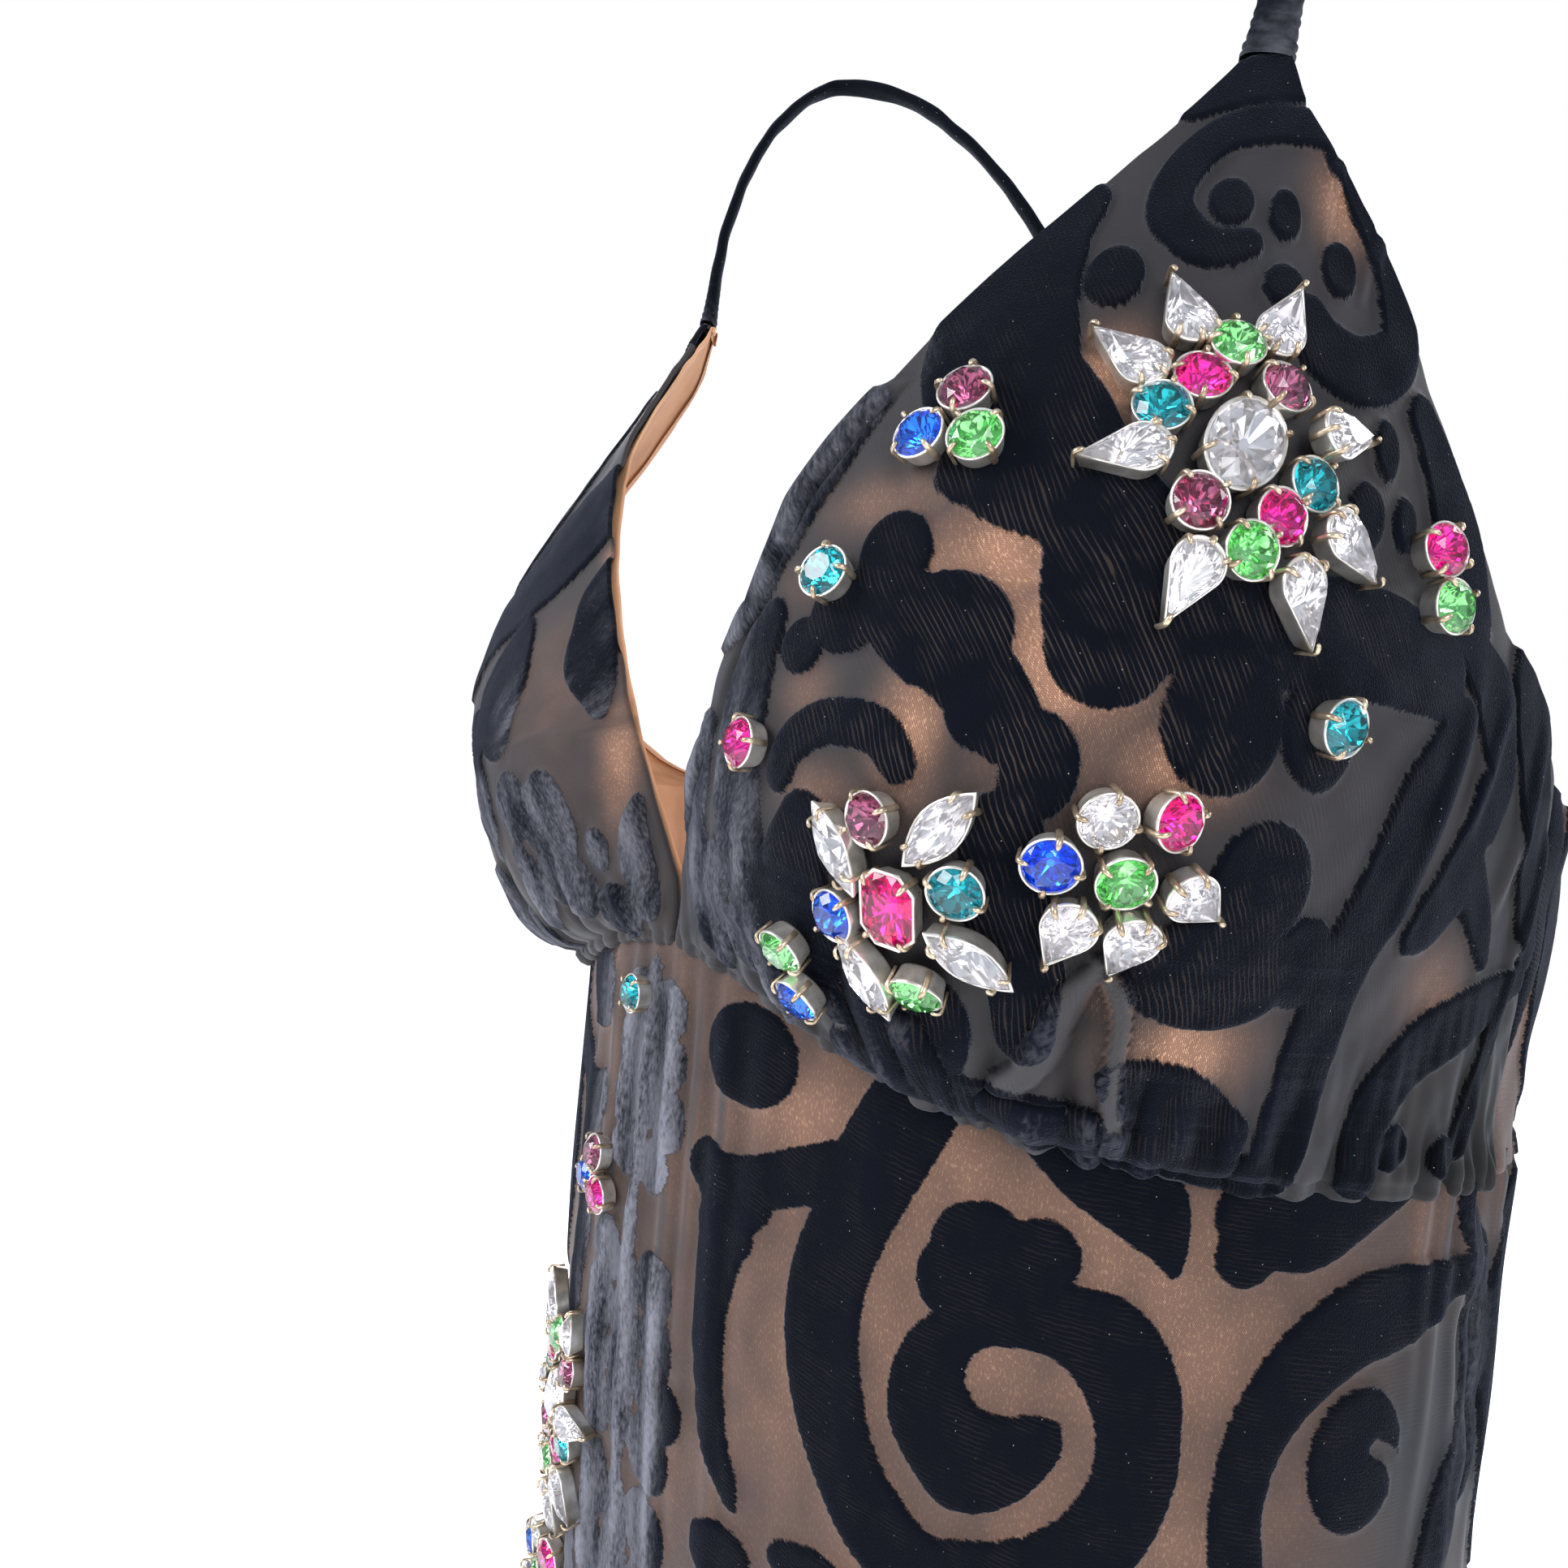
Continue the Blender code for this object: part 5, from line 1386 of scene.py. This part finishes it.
stoneGroups = [  # frame node, cloth it is sewn to, angle and height of its middle, places
    ("stones_flower_cup", "cup", 50.4, 0.1200, wholeFlower),
    ("stones_octagon", "cup", 33.2, 0.0441, octagonGroup),
    ("stones_half_flower_cup", "cup", 45.6, 0.0533, fanGroup),
    ("stones_triple_cup", "cup", 33.9, 0.1228, tripleOf("plum", "blue", "green")),
    ("stones_pair_front", "cup", 26.0, 0.0325, pairOf("green", "blue", 250.0, 14.0)),
    ("stones_pair_side", "cup", 67.3, 0.1030, pairOf("pink", "green", 180.0, 6.0)),
    ("stone_neckline_high", "cup", 27.0, 0.0979, singleOf("teal", 20.0, 10.0)),
    ("stone_neckline_low", "cup", 21.8, 0.0690, singleOf("pink")),
    ("stone_side", "cup", 57.3, 0.0776, singleOf("teal", -60.0, 10.0)),
    ("stone_skirt_top", "skirt", -4.6, 0.0060, singleOf("teal")),
    ("stones_triple_skirt", "skirt", -10.5, -0.0432, tripleOf("plum", "blue", "pink")),
    ("stones_flower_skirt", "skirt", -19.0, -0.1120, wholeFlower),
    ("stones_half_flower_skirt", "skirt", -20.0, -0.1640, fanGroup),
]


def stoneOutline(cut, count):
    # Places round a stone's rim in mm, its length along X; a pear's or navette's point comes first.
    length, width, _ = stoneCuts[cut]
    turn = np.arange(count) * math.tau / count
    if cut == "navette":
        x = np.cos(turn)
        across = np.sign(np.sin(turn)) * (1.0 - np.abs(x) ** 1.9)
        return np.stack([0.5 * length * x, 0.5 * width * across], 1)
    if cut in ("pear", "drop"):
        radius, tip = 0.5 * width, 0.5 * length
        centre = radius - tip
        touch = math.acos(radius / (tip - centre))
        turn = touch + (math.tau - 2.0 * touch) * (np.arange(count) - 1.0) / (count - 2.0)
        points = np.stack([centre + radius * np.cos(turn), radius * np.sin(turn)], 1)
        points[0] = (tip, 0.0)
        return points
    if cut == "octagon":
        x, y = 0.5 * length, 0.5 * width
        c = 0.55 * y
        quarter = [(x, 0.0), (x, y - c), (x - 0.5 * c, y - 0.5 * c), (x - c, y)]
        half = quarter + [(0.0, y)] + [(-a, b) for a, b in quarter[:0:-1]]
        whole = np.array(half + [(-a, -b) for a, b in half] + [half[0]])
        at = np.arange(count) * (len(whole) - 1) / count
        return np.stack([np.interp(at, range(len(whole)), whole[:, k]) for k in (0, 1)], 1)
    return np.stack([0.5 * length * np.cos(turn), 0.5 * width * np.sin(turn)], 1)


def level(points, height):
    return np.concatenate([points, np.full((len(points), 1), height)], axis=1)


gemSet = {  # share of the rim and height in mm of each ring of facets
    "girdle": (0.955, 3.55),
    "shoulder": (0.80, 4.45),
    "table": (0.56, 5.15),
    "waist": (0.60, 1.75),
    "foot": (0.14, 0.5),
}


def gemParts(cut):
    # Faceted stone in mm: vertices, crown faces and foiled pavilion faces.
    rim = stoneOutline(cut, 16)
    odd, even = rim[1::2], rim[0::2]
    rings = zip((rim, odd, even, odd, even), gemSet.values())
    vertices = np.concatenate([level(ring * size, height) for ring, (size, height) in rings])
    crown = [tuple(range(24, 32))]
    foil = [tuple(reversed(range(40, 48)))]
    for k in range(8):
        g0, g1, g2 = 2 * k, 2 * k + 1, (2 * k + 2) % 16
        b0, b1 = 16 + k, 16 + (k + 1) % 8
        t0, t1 = 24 + k, 24 + (k + 1) % 8
        p0, p1 = 32 + k, 32 + (k + 1) % 8
        c0, c1 = 40 + k, 40 + (k + 1) % 8
        crown += [(g0, g1, b0), (g1, g2, b0), (g2, b1, t1), (g2, t1, b0), (t0, b0, t1)]
        foil += [(g1, g0, p0), (g2, g1, p0), (g2, p0, c1), (g2, c1, p1), (p0, c0, c1)]
    return vertices, crown, foil


def settingParts(cut):
    # Metal cup and its claws in mm: vertices, wall faces and claw faces.
    rim = stoneOutline(cut, 32)
    vertices = [level(rim * size, height) for size, height in settingSet["wall"]]
    wall = [tuple(reversed(range(32)))]
    for r in range(len(vertices) - 1):
        for k in range(32):
            a, b = r * 32 + k, r * 32 + (k + 1) % 32
            wall.append((a, b, b + 32, a + 32))
    claws = []
    count = 32 * len(vertices)
    way, section = settingSet["claw"], settingSet["section"]
    slope = np.gradient(np.array([(off, high) for off, high, _ in way]), axis=0)
    slope = slope / np.linalg.norm(slope, axis=1, keepdims=True)
    for place in stoneCuts[cut][2]:
        foot = rim[place]
        outward = foot / np.hypot(*foot)
        across = np.array([-outward[1], outward[0]])
        for (off, high, width), (run, rise) in zip(way, slope):
            for side, lift in section:
                flat = foot + outward * (off + rise * lift) + across * side * width
                vertices.append(np.array([[flat[0], flat[1], high - run * lift]]))
        sides = len(section)
        for s in range(len(way) - 1):
            for k in range(sides):
                a, b = count + s * sides + k, count + s * sides + (k + 1) % sides
                claws.append((a, a + sides, b + sides, b))
        last = count + (len(way) - 1) * sides
        claws.append(tuple(count + k for k in range(sides)))
        claws.append(tuple(last + k for k in reversed(range(sides))))
        count = last + sides
    return np.concatenate(vertices), wall, claws


def walkCloth(surface, angle, height, across, up, steps=4):
    # Move over the cloth by a distance across and a distance up.
    for _ in range(steps):
        here = surface(angle, height)
        byAngle = (surface(angle + 0.3, height) - here) / 0.3
        byHeight = (surface(angle, height + 0.0006) - here) / 0.0006
        flat = byAngle / np.linalg.norm(byAngle)
        rise = byHeight - flat * (byHeight @ flat)
        rise = rise / np.linalg.norm(rise)
        spread = np.array([[byAngle @ flat, byHeight @ flat], [byAngle @ rise, byHeight @ rise]])
        move = np.linalg.solve(spread, np.array([across, up]) / steps)
        angle, height = angle + move[0], height + move[1]
    return angle, height


def clothAxes(surface, angle, height, turn, tilt, way, slope):
    # A stone's length, width and outward directions on the cloth.
    flat = surface(angle + 0.3, height) - surface(angle - 0.3, height)
    climb = surface(angle, height + 0.0006) - surface(angle, height - 0.0006)
    outward = Vector(flat).cross(Vector(climb)).normalized()
    along = Vector(flat).normalized()
    length = Matrix.Rotation(math.radians(turn), 3, outward) @ along
    lean = Matrix.Rotation(math.radians(tilt[0]), 3, length) @ Matrix.Rotation(
        math.radians(tilt[1]), 3, outward.cross(length))
    towards = Matrix.Rotation(math.radians(way), 3, outward) @ along
    lean = Matrix.Rotation(math.radians(slope), 3, outward.cross(towards)) @ lean
    outward, length = lean @ outward, lean @ length
    return np.array(length), np.array(outward.cross(length)), np.array(outward)


def seatStone(tree, place, axes, cut, rings):
    # Lift a stone until the rings of its foot are just clear of the cloth below them.
    length, width, outward = axes
    size = np.array(stoneCuts[cut][:2]) * 0.0005 * settingSet["wall"][1][0]
    lift = -0.001
    for ring in rings:
        for turn in np.arange(8) * math.tau / 8:
            offset = length * size[0] * math.cos(turn) * ring + width * size[1] * math.sin(turn) * ring
            hit = tree.ray_cast(Vector(place + offset + outward * 0.02), Vector(-outward), 0.04)
            if hit[0] is not None:
                lift = max(lift, float((np.array(hit[0]) - place) @ outward))
    return place + outward * (lift - settingSet["sunk"])


def meshFromParts(name, batches, finishes):
    # Join batches of (vertices, faces, finish number, smooth) in metres into one piece.
    vertices, faces, finish, smooth = [], [], [], []
    count = 0
    for points, group in batches:
        vertices.append(points)
        for batchFaces, number, soft in group:
            faces += [tuple(v + count for v in face) for face in batchFaces]
            finish += [number] * len(batchFaces)
            smooth += [soft] * len(batchFaces)
        count += len(points)
    mesh = bpy.data.meshes.new(name)
    mesh.from_pydata(np.concatenate(vertices).tolist(), [], faces)
    for made in finishes:
        mesh.materials.append(made)
    mesh.polygons.foreach_set("material_index", finish)
    mesh.polygons.foreach_set("use_smooth", smooth)
    made = bpy.data.objects.new(name, mesh)
    bpy.context.scene.collection.objects.link(made)
    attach(made, "root")
    return made


glassLook = {"Base_Color": (0.98, 0.98, 0.99), "Transmission_Weight": 1.0, "IOR": 1.56, "Roughness": 0.0}
foilLook = {
    "cloud": {"Scale": 420.0, "Detail": 1.0},
    "cloudEdge": (0.35, 0.65),
    "deepen": 1.3,  # power that a colour is raised to where it is deeper
    "darken": 0.9,
    "roughness": 0.08,
    "clearMetal": 0.72,
    "colourMetal": 0.80,
}
metalLook = {
    "cloud": {"Scale": 260.0, "Detail": 4.0},
    "cloudEdge": (0.36, 0.66),
    "scratch": {"Scale": 1900.0, "Detail": 2.0},
    "bump": 0.25,
    "scratchHigh": 0.0001,
    "metal": 0.80,
    "roughness": (0.20, 0.20),  # how much it varies, and the least
}
metals = {  # bright and dull colour: the setting's wall, then its claws
    "agedSilver": ((0.90, 0.87, 0.82), (0.66, 0.62, 0.56)),
    "rubbedClaws": ((0.72, 0.59, 0.43), (0.42, 0.31, 0.21)),
}


def makeGlass():
    made, tree = newMaterial("stoneGlass")
    surfaceOut(tree, put(tree, "BsdfPrincipled", None, **glassLook))
    return made


def makeFoil(word):
    # Mirror foil behind the glass, a little uneven in depth of colour.
    look = foilLook
    made, tree = newMaterial("foil_" + word)
    place = put(tree, "TexCoord").outputs["Object"]
    cloud = put(tree, "TexNoise", None, Vector=place, **look["cloud"]).outputs["Fac"]
    deep = tuple(c ** look["deepen"] * look["darken"] for c in foilColours[word])
    colour = blendColour(tree, step(tree, cloud, look["cloudEdge"]), deep, foilColours[word])
    metal = look["clearMetal"] if word == "clear" else look["colourMetal"]
    surfaceOut(tree, put(tree, "BsdfPrincipled", None, Base_Color=colour, Roughness=look["roughness"],
                         Metallic=metal))
    return made


def makeMetal(name):
    look = metalLook
    bright, dull = metals[name]
    made, tree = newMaterial(name)
    place = put(tree, "TexCoord").outputs["Object"]
    cloud = put(tree, "TexNoise", None, Vector=place, **look["cloud"]).outputs["Fac"]
    scratch = put(tree, "TexNoise", None, Vector=place, **look["scratch"]).outputs["Fac"]
    colour = blendColour(tree, step(tree, cloud, look["cloudEdge"]), dull, bright)
    bump = put(tree, "Bump", None, Strength=look["bump"], Distance=look["scratchHigh"], Height=scratch)
    surfaceOut(tree, put(tree, "BsdfPrincipled", None, Base_Color=colour, Metallic=look["metal"],
                         Roughness=scaled(tree, cloud, *look["roughness"]), Normal=bump.outputs[0]))
    return made


def makeStones(group, cloth, glass, foils, finishes, rng):
    node, on, angle, height, places = group
    surface = plainCup if on == "cup" else plainSkirt
    words = sorted({place[4] for place in places})
    gems, settings = [], []
    for cut, distance, bearing, turn, colour, way, slope in places:
        run = distance * 0.001 * math.cos(math.radians(bearing))
        rise = distance * 0.001 * math.sin(math.radians(bearing))
        a, h = walkCloth(surface, angle, height, run, rise)
        spin = rng.uniform(0.0, 90.0) if cut == "round" else 0.0
        tilt = rng.uniform(-settingSet["tilt"], settingSet["tilt"], 2)
        axes = clothAxes(surface, a, h, turn + spin, tilt, way, slope)
        rings = (0.0, 0.5, 1.0) if slope < settingSet["steep"] else (0.0, 0.5)
        foot = seatStone(cloth, surface(a, h), axes, cut, rings)
        turned = np.array(axes) * 0.001 * settingSet["grow"]
        points, crown, foil = gemParts(cut)
        gems.append((points @ turned + foot, [(crown, 0, False), (foil, 1 + words.index(colour), False)]))
        points, wall, claws = settingParts(cut)
        settings.append((points @ turned + foot, [(wall, 0, True), (claws, 1, True)]))
    word = node.split("_", 1)[1]
    gem = meshFromParts("gems_" + word, gems, [glass] + [foils[w] for w in words])
    standFor(node)
    setting = meshFromParts("settings_" + word, settings, finishes)
    return [gem, setting]


def clothTree(piece):
    mesh = piece.data
    points = np.empty(len(mesh.vertices) * 3)
    mesh.vertices.foreach_get("co", points)
    return BVHTree.FromPolygons([Vector(p) for p in points.reshape(-1, 3)],
                                [tuple(face.vertices) for face in mesh.polygons])


# Everything together

makeCamera()
makeLights()
makeWorld()
velvet = makeVelvet("devoreVelvet")
tanLining = makeLining()
print("camera, lights and cloth finishes ready")
makeFloor()
cupLeft = makeCup("left", 1, velvet, 1.0)
makeCup("right", -1, velvet, 0.8)
print("cups sewn")
for word, side in (("left", 1), ("right", -1)):
    makeCupLining(word, side, tanLining)
    makeBack(word, side, velvet, tanLining)
    makeStrap(word, side, velvet)
print("lining, back band and straps sewn")
skirtFront = makeSkirt("front", -gown["sideSeam"], gown["sideSeam"], velvet, tanLining)
makeSkirt("back", gown["sideSeam"], 360.0 - gown["sideSeam"], velvet, tanLining)
print("skirt hung")
glass = makeGlass()
foils = {word: makeFoil(word) for word in foilColours}
finishes = [makeMetal(name) for name in metals]
cloths = {"cup": clothTree(cupLeft), "skirt": clothTree(skirtFront)}
rng = np.random.default_rng(5)
sewnOn = {"velvetCup_left": [], "velvetSkirt_front": []}
for group in stoneGroups:
    holder = "velvetCup_left" if group[1] == "cup" else "velvetSkirt_front"
    sewnOn[holder] += makeStones(group, cloths[group[1]], glass, foils, finishes, rng)
print("stones set:", sum(len(group[4]) for group in stoneGroups))
